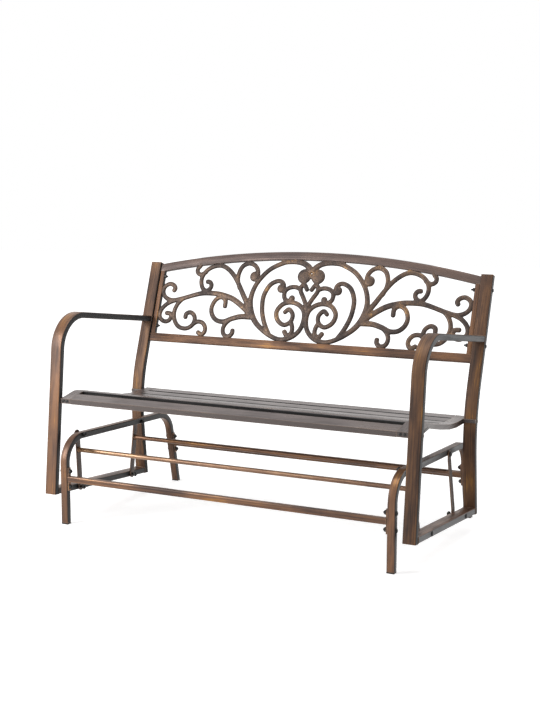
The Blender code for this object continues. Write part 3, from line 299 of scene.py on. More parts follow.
class Shape:
    """Gathers skins over rings of points into one mesh, with UVs in metres along and around each skin."""

    def __init__(self):
        self.points = []
        self.faces = []
        self.uvs = []
        self.coats = []

    def skin(self, rings, start=0.0, ends=True, loop=False, coat=0):
        """Joins each ring to the next.

        ends closes the first and the last ring, and loop joins the last ring to the first instead.
        start is where the UV map begins, which gives each tube patches of its own.
        coat is the number of the skin's material.
        """
        first = len(self.points)
        faces = len(self.faces)
        count = len(rings[0])
        arounds = [0.0]
        for here, there in zip(rings[0], rings[0][1:] + rings[0][:1]):
            arounds.append(arounds[-1] + (there - here).length)
        alongs = [start]
        for here, there in zip(rings, rings[1:] + rings[:1]):
            alongs.append(alongs[-1] + (sum(there, Vector()) - sum(here, Vector())).length / count)
        for ring in rings:
            self.points += ring
        rows = len(rings) if loop else len(rings) - 1
        for row in range(rows):
            low, high = first + row * count, first + (row + 1) % len(rings) * count
            for spot in range(count):
                after = (spot + 1) % count
                self.faces.append((low + spot, low + after, high + after, high + spot))
                left, right = arounds[spot], arounds[spot + 1]
                near, far = alongs[row], alongs[row + 1]
                self.uvs.append(((near, left), (near, right), (far, right), (far, left)))
        if ends and not loop:
            for begin, along in ((first, alongs[0]), (first + (len(rings) - 1) * count, alongs[-2])):
                self.faces.append(tuple(range(begin, begin + count)))
                self.uvs.append(tuple((along, around) for around in arounds[:count]))
        self.coats += [coat] * (len(self.faces) - faces)

    def build(self, name, material, body, nodes=(), sharp=40):
        mesh = bpy.data.meshes.new(name)
        mesh.from_pydata(self.points, [], self.faces)
        mesh.polygons.foreach_set("material_index", self.coats)
        layer = mesh.uv_layers.new(name="UVMap")
        corner = 0
        for uvs in self.uvs:
            for uv in uvs:
                layer.data[corner].uv = uv
                corner += 1
        tidy = bmesh.new()
        tidy.from_mesh(mesh)
        bmesh.ops.recalc_face_normals(tidy, faces=tidy.faces)
        tidy.to_mesh(mesh)
        tidy.free()
        return add_piece(name, mesh, material, body, nodes, sharp)


def add_piece(name, mesh, material, body, nodes=(), sharp=40):
    for coat in material if isinstance(material, tuple) else (material,):
        mesh.materials.append(coat)
    mesh.shade_smooth()
    mesh.set_sharp_from_angle(angle=math.radians(sharp))
    piece = bpy.data.objects.new(name, mesh)
    bpy.context.scene.collection.objects.link(piece)
    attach(piece, body)
    if nodes:
        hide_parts(*nodes)
    return piece


def tube_section(tube):
    """Rounded rectangle, as (in the bend's plane, across it)."""
    width, depth, corner = tube
    points = []
    for quarter, (across, deep) in enumerate(((1, 1), (-1, 1), (-1, -1), (1, -1))):
        for step in range(CORNER_STEPS + 1):
            angle = math.radians(90) * (quarter + step / CORNER_STEPS)
            v = across * (width / 2 - corner) + corner * math.cos(angle)
            u = deep * (depth / 2 - corner) + corner * math.sin(angle)
            points.append((u, v))
    return points


def rounded_path(corners, radius):
    """A path through side-view corners whose inner corners are arcs."""
    path = [corners[0]]
    for before, corner, after in zip(corners, corners[1:], corners[2:]):
        back, ahead = (before - corner).normalized(), (after - corner).normalized()
        opening = back.angle(ahead)
        centre = corner + (back + ahead).normalized() * (radius / math.sin(opening / 2))
        start = corner + back * (radius / math.tan(opening / 2)) - centre
        sign = 1.0 if back.x * ahead.y - back.y * ahead.x < 0 else -1.0
        steps = max(3, math.ceil((math.pi - opening) / BEND_STEP))
        for step in range(steps + 1):
            path.append(centre + Matrix.Rotation(sign * (math.pi - opening) * step / steps, 2) @ start)
    path.append(corners[-1])
    return path


def side_point(x, point):
    return Vector((x, point[0] - SHIFT, point[1]))


def path_frames(path):
    """Each point of a path, with the direction of the path there and the direction to its left."""
    for index, point in enumerate(path):
        before, after = path[max(index - 1, 0)], path[min(index + 1, len(path) - 1)]
        tangent = (after.xy - before.xy).normalized()
        yield point, tangent, Vector((-tangent.y, tangent.x))


def tube_rings(path, x, tube, cuts=(None, None)):
    """Rings of a tube along a side-view path. A cut is the (point, normal) of a plane that ends the tube."""
    section = tube_section(tube)
    cut_rings = {0: cuts[0], len(path) - 1: cuts[1]}
    rings = []
    for index, (point, tangent, normal) in enumerate(path_frames(path)):
        cut = cut_rings.get(index)
        ring = []
        for u, v in section:
            spot = point + normal * u
            if cut:
                spot = spot + tangent * ((cut[0] - spot).dot(cut[1]) / tangent.dot(cut[1]))
            ring.append(side_point(x + v, spot))
        rings.append(ring)
    return rings


def circle(count, twist=0.0):
    """Directions all round, as (cosine, sine)."""
    turns = [math.tau * step / count + twist for step in range(count)]
    return [(math.cos(turn), math.sin(turn)) for turn in turns]


WELD_RADIUS = 0.0019
WELD_STEP = 0.0020
WELD_SIDES = 8


def weld_bead(shape, ring):
    """A rippled weld round a joint, along a closed ring of points."""
    centre = sum(ring, Vector()) / len(ring)
    path = []
    for here, there in zip(ring, ring[1:] + ring[:1]):
        pieces = max(1, round((there - here).length / WELD_STEP))
        path += [here.lerp(there, step / pieces) for step in range(pieces)]
    rings = []
    for index, point in enumerate(path):
        tangent = (path[(index + 1) % len(path)] - path[index - 1]).normalized()
        out = (point - centre).normalized()
        side = tangent.cross(out).normalized()
        size = WELD_RADIUS * (1.0 + 0.16 * math.sin(index * 1.9) + 0.10 * math.sin(index * 0.63))
        rings.append([point + (out * cosine + side * sine) * size for cosine, sine in circle(WELD_SIDES)])
    shape.skin(rings, loop=True)


def turned(shape, centre, profile, sides=28, twist=0.0, start=0.0, loop=False):
    """A shape turned about the X direction. The profile is (x, radius) from end to end, or round a loop."""
    rings = []
    for x, radius in profile:
        rings.append([
            Vector((x, centre[0] + radius * cosine, centre[1] + radius * sine))
            for cosine, sine in circle(sides, twist)
        ])
    shape.skin(rings, start, loop=loop)


# Side-view points of the frame


def lean(angle):
    return Vector((math.sin(angle), math.cos(angle)))


def falling(tilt):
    return Vector((math.cos(tilt), -math.sin(tilt)))


def meeting(point_a, along_a, point_b, along_b):
    """Where two lines of the side view meet."""
    across = along_a.x * along_b.y - along_a.y * along_b.x
    apart = point_b - point_a
    return point_a + along_a * ((apart.x * along_b.y - apart.y * along_b.x) / across)


def base_rail_z(y):
    return BASE_RAIL_Z - math.tan(BASE_RAIL_TILT) * (y - BASE_LEG)


RAIL_BACK = falling(RAIL_TILT)
RAIL_UP = Vector((-RAIL_BACK.y, RAIL_BACK.x))
ARM_BACK = falling(ARM_TILT)
POST_UP = lean(POST_LEAN)
BACK_UP = lean(BACK_UPPER_LEAN)
BACK_OUT = Vector((BACK_UP.y, -BACK_UP.x))
BACK_DOWN = -lean(BACK_LOWER_LEAN)
FOOT = Vector((POST_FOOT, RAIL_Z - math.tan(RAIL_TILT) * POST_FOOT))
FOOT_CUT = FOOT - RAIL_UP * (FRAME_TUBE[1] / 2)
ARM_CORNER = FOOT + POST_UP * ((ARM_Z + RAIL_Z - FOOT.y) / POST_UP.y)
REAR_FOOT = meeting(BACK_CORNER, BACK_DOWN, FOOT_CUT, RAIL_BACK)
FRAME_REACH = FRAME_TUBE[1] / 2 + GAP


# Standing base


def build_base():
    corner = Vector((BASE_REAR, base_rail_z(BASE_REAR)))
    rear_down = -lean(-BASE_REAR_LEAN)
    foot = corner + rear_down * ((FOOT_Z - corner.y) / rear_down.y)
    level = (Vector((0.0, FOOT_Z)), Vector((0.0, 1.0)))
    corners = [Vector((BASE_LEG, FOOT_Z)), Vector((BASE_LEG, base_rail_z(BASE_LEG))), corner, foot]
    for side_name, side in SIDES:
        low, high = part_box(f"base_frame_{side_name}")
        x = (low[0] + high[0]) / 2
        shape = Shape()
        shape.skin(tube_rings(rounded_path(corners, BASE_BEND), x, BASE_TUBE, (level, level)), 3.1 * side)
        shape.build(f"base_tube_{side_name}", BRONZE, "base", [f"base_frame_{side_name}"])


# Gliding frame

CAP_HALF = 0.002


def arm_rings(x):
    """Front post and arm in one bent tube, from the foot to the front of the back post."""
    end = meeting(ARM_CORNER, ARM_BACK, BACK_CORNER, BACK_UP)
    path = rounded_path([FOOT, ARM_CORNER, end], ARM_BEND)
    post_front = BACK_CORNER - BACK_OUT * FRAME_REACH
    return tube_rings(path, x, FRAME_TUBE, ((FOOT_CUT, RAIL_UP), (post_front, BACK_OUT)))


def post_path(length):
    """Middle line of the back post, so long above its bend's corner."""
    return rounded_path([REAR_FOOT, BACK_CORNER, BACK_CORNER + BACK_UP * length], BACK_BEND)


def post_rings(x, cap_name):
    """Back post, up to the underside of its cap."""
    low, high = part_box(cap_name)
    cap = Vector(((low[1] + high[1]) / 2 + SHIFT, (low[2] + high[2]) / 2))
    length = (cap - BACK_CORNER).dot(BACK_UP) - CAP_HALF - GAP
    return tube_rings(post_path(length), x, FRAME_TUBE, ((FOOT_CUT, RAIL_UP), None))


def rail_rings(x):
    """Bottom rail, between the front post and the back post."""
    front_out = Vector((POST_UP.y, -POST_UP.x))
    rear_out = Vector((BACK_DOWN.y, -BACK_DOWN.x))
    cuts = ((FOOT + front_out * FRAME_REACH, front_out), (BACK_CORNER + rear_out * FRAME_REACH, rear_out))
    end = meeting(FOOT, RAIL_BACK, BACK_CORNER, BACK_DOWN)
    return tube_rings([FOOT, (FOOT + end) / 2, end], x, FRAME_TUBE, cuts)


def build_frame():
    for side_name, side in SIDES:
        low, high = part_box(f"arm_tube_{side_name}")
        x = (low[0] + high[0]) / 2
        arm, post, rail = arm_rings(x), post_rings(x, f"post_cap_{side_name}"), rail_rings(x)
        # The left arm tube takes the lighter bronze, while the right arm tube and both back posts take the
        # darker copy: painted shade
        tubes = (
            ("arm_bent_tube", "arm_tube", arm, 1.7, BRONZE if side < 0 else BRONZE_PAINTED_SHADE),
            ("back_bent_tube", "back_post", post, 6.4, BRONZE_PAINTED_SHADE),
            ("lower_rail", "bottom_rail", rail, 8.9, BRONZE),
        )
        for name, node, rings, start, coat in tubes:
            shape = Shape()
            shape.skin(rings, start * side)
            shape.build(f"{name}_{side_name}", coat, "glider", [f"{node}_{side_name}"])
        welds = Shape()
        for ring in (arm[-1], rail[0], rail[-1]):
            weld_bead(welds, ring)
        welds.build(f"frame_welds_{side_name}", BRONZE, "glider")


# Back panel


ARCH_STEPS = 48
UPRIGHT_SINK_FOOT = 0.001
UPRIGHT_SINK_ARCH = 0.002


def build_panel():
    """Arched frame of four tubes, and the casting inside it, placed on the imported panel's own faces."""
    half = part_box("back_panel_frame")[1][0]
    vertices = NODES["back_panel_frame"].data.vertices
    up = Vector((0.0, math.sin(BACK_UPPER_LEAN), math.cos(BACK_UPPER_LEAN)))
    out = Vector((1.0, 0.0, 0.0)).cross(up)
    heights = [vertex.co.dot(up) for vertex in vertices]
    depths = [vertex.co.dot(out) for vertex in vertices]
    foot, top = min(heights), max(heights)
    deep = (min(depths) + max(depths)) / 2
    end_top = max(vertex.co.dot(up) for vertex in vertices if vertex.co.x > half - END_BAND)
    rise = top - end_top
    radius = (half**2 + rise**2) / (2 * rise)
    width = RAIL_TUBE[0]

    def place(across, height, forward):
        return Vector((across, 0.0, 0.0)) + up * height + out * (deep + forward)

    def upright_cut(across, height, turn):
        """Section of a tube that slopes by an angle, where an upright plane cuts it."""
        return [place(across, height + v / math.cos(turn), forward) for forward, v in tube_section(RAIL_TUBE)]

    arch = []
    for step in range(ARCH_STEPS + 1):
        across = half * (2 * step / ARCH_STEPS - 1)
        turn = -math.asin(across / (radius - width / 2))
        height = top - radius + (radius - width / 2) * math.cos(turn)
        arch.append(upright_cut(across, height, turn))
    foot_tube = [upright_cut(across, foot + width / 2, 0.0) for across in (-half, -half / 3, half / 3, half)]
    shape = Shape()
    shape.skin(arch, 2.3, coat=1)
    shape.skin(foot_tube, 4.4)
    for side in (-1, 1):
        across = side * (half - SIDE_TUBE[0] / 2)
        low = foot + width - UPRIGHT_SINK_FOOT
        high = top - radius + math.sqrt((radius - width) ** 2 - across**2) + UPRIGHT_SINK_ARCH
        middle = (foot + high) / 2
        rings = [
            [place(across + v, height, forward) for forward, v in tube_section(SIDE_TUBE)]
            for height in (low, middle, high)
        ]
        shape.skin(rings, 11.0 + side)
    shape.build("panel_tubes", (PANEL_BRONZE, ARCH_BRONZE), "glider", ["back_panel_frame"])

    build_casting(place, half - SIDE_TUBE[0], foot + width, top - width - foot - width)


# Scrollwork of one half: units across from the middle, units up from the opening's foot, thickness factor
UNITS_ACROSS = 575
UNITS_UP = 286
STROKES = {
    "outer_sweep": (
        (3, 250, 1.15), (13, 262, 1.25), (30, 273, 1.2), (52, 278, 1.05), (78, 279, 1.0),
        (111, 274, 1.0), (162, 247, 1.0), (201, 199, 1.0), (216, 150, 1.1), (211, 106, 1.3),
        (189, 66, 1.2), (155, 36, 1.05), (118, 15, 1.0), (81, 5.5, 1.0), (43, 15, 1.0), (15, 41, 1.0),
        (4.5, 76, 1.0), (9, 108, 1.0), (30, 129, 1.0), (61, 137, 1.0), (92, 128, 1.0), (110, 101, 1.0),
        (101, 72, 1.0), (75, 57, 0.95), (52, 70, 0.95), (48, 94, 0.95), (64, 112, 0.95),
        (79, 101, 0.92),
    ),
    "inner_sweep": (
        (101, 184, 1.3), (98, 196, 1.0), (107, 207, 0.95), (125, 209, 0.95), (151, 193, 1.0),
        (168, 155, 1.0), (167, 110, 1.0), (157, 75, 1.0), (142, 44, 1.0), (126, 20, 0.95),
    ),
    "loop_tail": (
        (51, 69, 0.95), (44, 54, 0.95), (42, 38, 0.95), (48, 25, 0.95), (61, 23, 1.0), (70, 34, 1.05),
    ),
    "heart": (
        (-2, 118, 0.95), (16, 152, 0.95), (31, 177, 0.95), (31, 193, 0.95), (20, 200, 0.95),
        (8, 183, 0.95),
    ),
    "crown_curl": (
        (31, 184, 0.95), (53, 191, 0.95), (74, 188, 0.95), (88, 177, 0.95), (91, 162, 0.95),
        (86, 148, 0.95), (73, 141, 0.95), (61, 145, 1.0),
    ),
    "long_arm": (
        (209, 84, 1.2), (234, 106, 1.2), (281, 136, 1.2), (325, 150, 1.15), (364, 155, 1.1),
        (411, 153, 1.05), (459, 140, 0.95), (500, 127, 0.95), (532, 123, 0.95), (558, 133, 0.95),
        (570, 152, 0.95), (566, 171, 0.95), (548, 182, 0.95), (530, 177, 0.97), (523, 166, 1.0),
        (527, 158, 1.0),
    ),
    "end_curl": (
        (480, 133, 0.95), (515, 123, 0.95), (544, 110, 0.95), (564, 90, 0.95), (570, 68, 0.95),
        (562, 52, 0.95), (545, 44, 0.95), (529, 48, 0.95), (522, 61, 0.95), (526, 73, 0.97),
        (542, 75, 1.0),
    ),
    "great_curl": (
        (458, 140, 0.95), (486, 129, 0.95), (505, 106, 0.95), (512, 78, 0.95), (504, 49, 0.95),
        (484, 28, 0.95), (455, 23, 0.95), (432, 35, 0.95), (424, 56, 0.95), (430, 73, 0.95),
        (446, 82, 0.97), (461, 76, 1.0), (463, 63, 1.0),
    ),
    "great_curl_tail": (
        (431, 38, 0.95), (412, 50, 0.95), (391, 47, 0.95), (378, 32, 0.95), (377, 16, 0.95),
        (388, 5, 0.97), (403, 12, 1.0),
    ),
    "middle_curl": (
        (201, 78, 1.2), (245, 77, 1.15), (278, 68, 1.1), (309, 56, 1.05), (338, 60, 1.0),
        (358, 79, 1.0), (364, 104, 0.95), (353, 131, 0.95), (332, 143, 0.97), (314, 132, 1.0),
        (312, 110, 1.0),
    ),
    "middle_tail": (
        (258, 73, 0.95), (282, 65, 0.95), (298, 51, 0.95), (306, 33, 0.95), (303, 15, 0.95),
        (291, 5, 0.97), (277, 6, 1.0), (268, 17, 1.0), (268, 27, 1.0),
    ),
    "upper_arm": (
        (213, 94, 1.15), (226, 122, 1.15), (248, 155, 1.1), (276, 198, 1.0), (302, 229, 1.0),
        (333, 251, 1.0), (362, 256, 0.95), (395, 245, 0.95), (417, 222, 0.95), (422, 197, 0.95),
        (413, 173, 0.95), (397, 163, 0.95), (382, 172, 0.95), (379, 185, 0.97), (387, 195, 1.0),
        (397, 196, 1.0),
    ),
    "arch_tie": (
        (408, 231, 0.95), (426, 221, 0.95), (441, 227, 0.95), (444, 240, 0.95), (436, 251, 0.95),
        (430, 263, 0.95),
    ),
    "branch": (
        (266, 178, 0.95), (277, 206, 0.95), (277, 232, 0.95), (267, 256, 1.0), (246, 268, 1.0),
        (223, 264, 0.97), (207, 248, 0.97), (203, 230, 1.0), (209, 220, 1.1),
    ),
}
# Bulbs on the strokes as (across, up, radius factor), and pads under the arch as (across, up)
BALLS = ((105, 184, 1.85), (214, 222, 2.15), (60, 151, 1.3))
PADS = ((66, 287), (246, 279), (352, 264), (111, 284))
PAD_RADIUS = 0.0095
# Two discs side by side above the stem, in units up and metres
DISC_UP = 230
DISC_OFFSET = 0.02575
DISC_RADIUS = 0.0262
DISC_TIE_RADIUS = 0.0085
STEM_UPS = range(60, 121, 10)
STEM_RADIUS = 0.0075
# Half widths and half depths of what the casting is made of, and how far it stands forward in the panel
STROKE_HALF = 0.0087
CAST_HALF_DEPTH = 0.0052
CAST_FORWARD = 0.0030
BALL_DEPTH = 0.0058
DISC_DEPTH = 0.0048
PAD_DEPTH = 0.0045
DISC_TIE_DEPTH = 0.0040
# Distance between a stroke's rings, their sides, and the power that squares them a little
STROKE_STEP = 0.0035
STROKE_SIDES = 14
SECTION_POWER = 0.8
# Ends of a stroke, as (how far a ring stands beyond it in half widths, size of that ring)
START_CAP = ((-0.75, 0.35), (-0.5, 0.80), (0.0, 1.0))
END_CAP = ((0.0, 1.0), (0.5, 0.80), (0.75, 0.35))


def smooth_stroke(points):
    """Points along a smooth line through a stroke's points."""
    ends = [2 * points[0] - points[1], *points, 2 * points[-1] - points[-2]]
    line = []
    for p0, p1, p2, p3 in zip(ends, ends[1:], ends[2:], ends[3:]):
        steps = max(2, math.ceil((p2 - p1).xy.length / STROKE_STEP))
        for step in range(steps):
            t = step / steps
            bend = (2 * p0 - 5 * p1 + 4 * p2 - p3) * t**2 + (3 * p1 - p0 - 3 * p2 + p3) * t**3
            line.append(0.5 * (2 * p1 + (p2 - p0) * t + bend))
    return line + [points[-1]]


def soft_corner(value, half):
    """Swells a round section towards a square one with soft corners."""
    return math.copysign(abs(value) ** SECTION_POWER, value) * half


def stroke_rings(line, place):
    """Rings of a stroke with a rounded front, and with both of its ends drawn in."""
    rings = []
    for index, (point, tangent, normal) in enumerate(path_frames(line)):
        caps = START_CAP if index == 0 else END_CAP if index == len(line) - 1 else ((0.0, 1.0),)
        for ahead, size in caps:
            middle = point.xy + tangent * ahead * STROKE_HALF * point.z
            ring = []
            for cosine, sine in circle(STROKE_SIDES):
                spot = middle + normal * soft_corner(cosine, STROKE_HALF * point.z * size)
                forward = soft_corner(sine, CAST_HALF_DEPTH * (0.4 + 0.6 * size))
                ring.append(place(spot.x, spot.y, CAST_FORWARD + forward))
            rings.append(ring)
    return rings


def build_casting(place, half, foot, height):
    """Strokes, bulbs, pads and discs, melted into one casting that fills the panel's opening."""
    shape = Shape()

    def drawn(side, across, up):
        """A point of one half's drawing, in metres across and up the panel."""
        return side * half * across / UNITS_ACROSS, foot + height * up / UNITS_UP

    def dome(spot, radius, deep):
        """A round boss with softly rounded faces."""
        rings = []
        for step in range(9):
            turn = math.pi * step / 8
            reach, forward = radius * (0.12 + 0.88 * math.sin(turn) ** 0.55), -deep * math.cos(turn)
            rings.append([
                place(spot[0] + reach * cosine, spot[1] + reach * sine, CAST_FORWARD + forward)
                for cosine, sine in circle(28)
            ])
        shape.skin(rings)

    for side in (-1, 1):
        for points in STROKES.values():
            line = smooth_stroke([Vector((*drawn(side, across, up), wide)) for across, up, wide in points])
            shape.skin(stroke_rings(line, place))
        for across, up, wide in BALLS:
            dome(drawn(side, across, up), STROKE_HALF * wide, BALL_DEPTH)
        dome((side * DISC_OFFSET, drawn(side, 0, DISC_UP)[1]), DISC_RADIUS, DISC_DEPTH)
        for across, up in PADS:
            dome(drawn(side, across, up), PAD_RADIUS, PAD_DEPTH)
    for up in STEM_UPS:
        dome(drawn(1, 0, up), STEM_RADIUS, DISC_DEPTH)
    dome(drawn(1, 0, DISC_UP), DISC_TIE_RADIUS, DISC_TIE_DEPTH)
    casting = shape.build("scroll_casting", CAST, "glider", ["back_scroll_casting"], 180)
    remesh = casting.modifiers.new("even", "REMESH")
    remesh.mode = "VOXEL"
    remesh.voxel_size = 0.0015
    remesh.use_smooth_shade = True
    soft = casting.modifiers.new("soft", "SMOOTH")
    soft.factor = 0.5
    soft.iterations = 4


# Links, rods and fasteners


def node_centre(name):
    """Lowest and highest x of a node, and its middle as (y, z)."""
    low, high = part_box(name)
    return low[0], high[0], ((low[1] + high[1]) / 2, (low[2] + high[2]) / 2)


LINK_EYE = 0.0125
LINK_HALF = 0.0024
EYE_HOLE = 0.0049
EYE_CHAMFER = 0.0008
EYE_OVERLAP = 0.008
# Width, thickness and corner radius of a link's strap, its straight ends, and its bends
STRAP = (0.024, 0.004, 0.0010)
STRAP_FLAT = 0.018
STRAP_BEND = 0.030


def link_eye(shape, x, centre):
    """A thick washer at the end of a link, with chamfered rims."""
    rim = LINK_EYE - EYE_CHAMFER
    profile = (
        (x - LINK_HALF, EYE_HOLE),
        (x - LINK_HALF, rim),
        (x - LINK_HALF + EYE_CHAMFER, LINK_EYE),
        (x + LINK_HALF - EYE_CHAMFER, LINK_EYE),
        (x + LINK_HALF, rim),
        (x + LINK_HALF, EYE_HOLE),
    )
    turned(shape, centre, profile, 32, start=x, loop=True)


def strap_rings(upper_x, lower_x, upper, lower):
    """A flat strap that steps outward on its way from the upper eye to the lower one."""
    down = (Vector(lower) - Vector(upper)).normalized()
    length = (Vector(lower) - Vector(upper)).length
    across = Vector((-down.y, down.x))
    stops = (EYE_OVERLAP, STRAP_FLAT, length - STRAP_FLAT, length - EYE_OVERLAP)
    corners = [Vector((stop, x)) for stop, x in zip(stops, (upper_x, upper_x, lower_x, lower_x))]
    rings = []
    for point, _, normal in path_frames(rounded_path(corners, STRAP_BEND)):
        ring = []
        for u, v in tube_section(STRAP):
            spot = point + normal * u
            flat = Vector(upper) + down * spot.x + across * v
            ring.append(Vector((spot.y, flat.x, flat.y)))
        rings.append(ring)
    return rings


def build_link(end, side_name, side):
    upper = node_centre(f"upper_pivot_bolt_{end}_{side_name}")[2]
    lower = node_centre(f"lower_pivot_bolt_{end}_{side_name}")[2]
    low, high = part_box(f"swing_link_{end}_{side_name}")
    faces = (low[0], high[0]) if side > 0 else (high[0], low[0])
    upper_x, lower_x = faces[0] + side * LINK_HALF, faces[1] - side * LINK_HALF
    shape = Shape()
    link_eye(shape, upper_x, upper)
    link_eye(shape, lower_x, lower)
    shape.skin(strap_rings(upper_x, lower_x, upper, lower), 0.7 * side)
    shape.build(f"link_{end}_{side_name}", LINK_COAT, f"{end}_swing", [f"swing_link_{end}_{side_name}"])


def build_rod(end):
    """Round bar between two links, flared at its welds."""
    low, high, centre = node_centre(f"{end}_swing_rod")
    rod_low, rod_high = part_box(f"{end}_swing_rod")
    radius = (rod_high[2] - rod_low[2]) / 2
    flare = radius * 1.35
    ends = ((0.0, flare), (0.002, flare * 0.97), (0.005, radius * 1.04), (0.008, radius))
    profile = [(low + inset, size) for inset, size in ends]
    profile += [(high - inset, size) for inset, size in reversed(ends)]
    rod = Shape()
    turned(rod, centre, profile, 32)
    rod.build(f"{end}_rod_with_welds", ROD_COATS[end], f"{end}_swing", [f"{end}_swing_rod"])


def build_swings():
    for end in ("front", "rear"):
        for side_name, side in SIDES:
            build_link(end, side_name, side)
        build_rod(end)


# Bolts: shank radius, head radius, head height, nut radius, nut height, and thread beyond the nut
BOLTS = {
    "stretcher_bolt": (0.0035, 0.0070, 0.0040, 0.0070, 0.0065, 0.0030),
    "upper_pivot_bolt": (0.0040, 0.0080, 0.0060, 0.0080, 0.0075, 0.0030),
    "lower_pivot_bolt": (0.0040, 0.0080, 0.0035, 0.0080, 0.0080, 0.0020),
    "seat_bolt": (0.0030, 0.0060, 0.0012, 0.0, 0.0, 0.0),
    "panel_bolt": (0.0030, 0.0060, 0.0030, 0.0060, 0.0065, 0.0060),
}
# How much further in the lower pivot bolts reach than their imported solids
LONG_END = 0.0065
# Grooves at the end of a thread, and the radius at which the top of a head closes
THREADS = 4
TIP = 0.0002


def bolt_head(shape, centre, side, face, radius, height):
    """A low dome on a short rim, with its flat side at the face."""
    profile = [(face, TIP), (face, radius * 0.97), (face + side * height * 0.22, radius)]
    for step in range(1, 7):
        turn = math.radians(90) * step / 6
        rise = 0.22 + 0.78 * math.sin(turn)
        profile.append((face + side * height * rise, max(radius * math.cos(turn), TIP)))
    turned(shape, centre, profile, 28)


def bolt_nut(shape, centre, side, end, radius, height):
    """A six-sided nut with chamfered faces, up to where the thread stands out of it."""
    chamfer = side * height * 0.12
    face = end + side * height
    profile = ((face, radius * 0.86), (face - chamfer, radius), (end + chamfer, radius), (end, radius * 0.86))
    turned(shape, centre, profile, 6, 0.3)


def bolt_thread(shape, centre, side, end, inner, radius, length):
    """The grooved end of the shank, beyond the nut."""
    groove = length / THREADS
    profile = []
    for step in range(THREADS):
        spot = end - side * groove * step
        profile += [(spot, radius * 0.98), (spot - side * groove / 2, radius * 0.86)]
    profile.append((inner, radius * 0.55))
    turned(shape, centre, profile, 20)


def build_bolts():
    """Each bolt has a domed head and a plain shank, and most have a nut and a thread beyond it."""
    for name in NODES:
        kind = next((kind for kind in BOLTS if name.startswith(kind)), None)
        if not kind:
            continue
        shank, head, head_height, nut, nut_height, thread = BOLTS[kind]
        low, high, centre = node_centre(name)
        side = -1 if name.endswith("left") else 1
        outer, inner = (high, low) if side > 0 else (low, high)
        if kind == "lower_pivot_bolt":
            inner -= side * LONG_END
        face = outer - side * head_height
        shape = Shape()
        bolt_head(shape, centre, side, face, head, head_height)
        nut_end = inner + side * thread
        turned(shape, centre, ((face, shank), (nut_end if nut_height else inner, shank)), 20)
        if nut_height:
            bolt_nut(shape, centre, side, nut_end, nut, nut_height)
            bolt_thread(shape, centre, side, nut_end, inner, shank, thread)
        body = "base" if kind in ("stretcher_bolt", "upper_pivot_bolt") else "glider"
        coat = BRONZE_ALONG["Z"] if kind == "seat_bolt" else BLACK
        shape.build(f"fitted_{name}", coat, body, [name], 32)


# Two black domes on the front of each seat bar, painted shade of the bar's open front end: height, half the
# distance between them, and dome as (radius, forward)
SHADE_MARK_Z = 0.397
SHADE_MARK_OFFSET = 0.007
SHADE_MARK_DOME = ((0.0001, 0.0022), (0.0030, 0.0021), (0.0046, 0.0013), (0.0050, -0.0002))
# Black patch on the outer face of each seat bar, painted shade of a slot there: its ends in the side view,
# half its height, and its rings
SLOT_ENDS = (Vector((0.168, 0.385)), Vector((0.193, 0.390)))
SLOT_HALF = 0.0035
SLOT_RINGS = ((SLOT_HALF * 0.2, 0.0006), (SLOT_HALF * 0.8, 0.0005), (SLOT_HALF, -0.0002))
# Tab across the front of each back post: height, thickness, corner radius, and the margin at its ends
TAB = (0.012, 0.004, 0.0010)
TAB_MARGIN = 0.001
# Any length above the bend does to find the back post's front at the seat
POST_UPPER_PART = 0.3


def build_shade_marks_on_seat(side_name, side):
    """Two flat black domes in front of a seat bar and a black patch on its outer face: painted shade of the
    bar's open front end and of a slot.
    """
    low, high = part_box(f"seat_side_bar_{side_name}")
    bar_x = (low[0] + high[0]) / 2
    shape = Shape()
    for offset in (-SHADE_MARK_OFFSET, SHADE_MARK_OFFSET):
        shape.skin([
            [
                Vector((bar_x + offset + radius * cosine, low[1] - forward, SHADE_MARK_Z + radius * sine))
                for cosine, sine in circle(20)
            ]
            for radius, forward in SHADE_MARK_DOME
        ])
    face = high[0] if side > 0 else low[0]
    rings = []
    slot_sides = 24
    for radius, out in SLOT_RINGS:
        ring = []
        for cosine, sine in circle(slot_sides, math.pi / slot_sides):
            end = SLOT_ENDS[1] if cosine > 0 else SLOT_ENDS[0]
            ring.append(side_point(face + side * out, end + Vector((cosine, sine)) * radius))
        rings.append(ring)
    shape.skin(rings)
    shape.build(f"seat_shade_marks_{side_name}", BLACK, "glider", ())


def build_seat_tab(side_name):
    """A thin tab across the front of the back post, at the height of the seat bar's rear end."""
    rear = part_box(f"seat_side_bar_{side_name}")[1][1]
    bar = NODES[f"seat_side_bar_{side_name}"].data.vertices
    heights = [vertex.co.z for vertex in bar if vertex.co.y > rear - END_BAND]
    height = (min(heights) + max(heights)) / 2
    path = post_path(POST_UPPER_PART)
    below, above = next((a, b) for a, b in zip(path, path[1:]) if a.y <= height <= b.y)
    post_y = below.lerp(above, (height - below.y) / (above.y - below.y)).x
    tab_y = post_y - (FRAME_TUBE[1] + TAB[1]) / 2
    low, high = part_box(f"back_post_{side_name}")
    tab = Shape()
    tab.skin([
        [side_point(x, (tab_y + u, height + v)) for u, v in tube_section(TAB)]
        for x in (low[0] + TAB_MARGIN, high[0] - TAB_MARGIN)
    ])
    # The tab takes the seat bars' coat, so its front carries the same painted shade
    tab.build(f"seat_tab_{side_name}", SEAT_BAR_COAT, "glider", ())


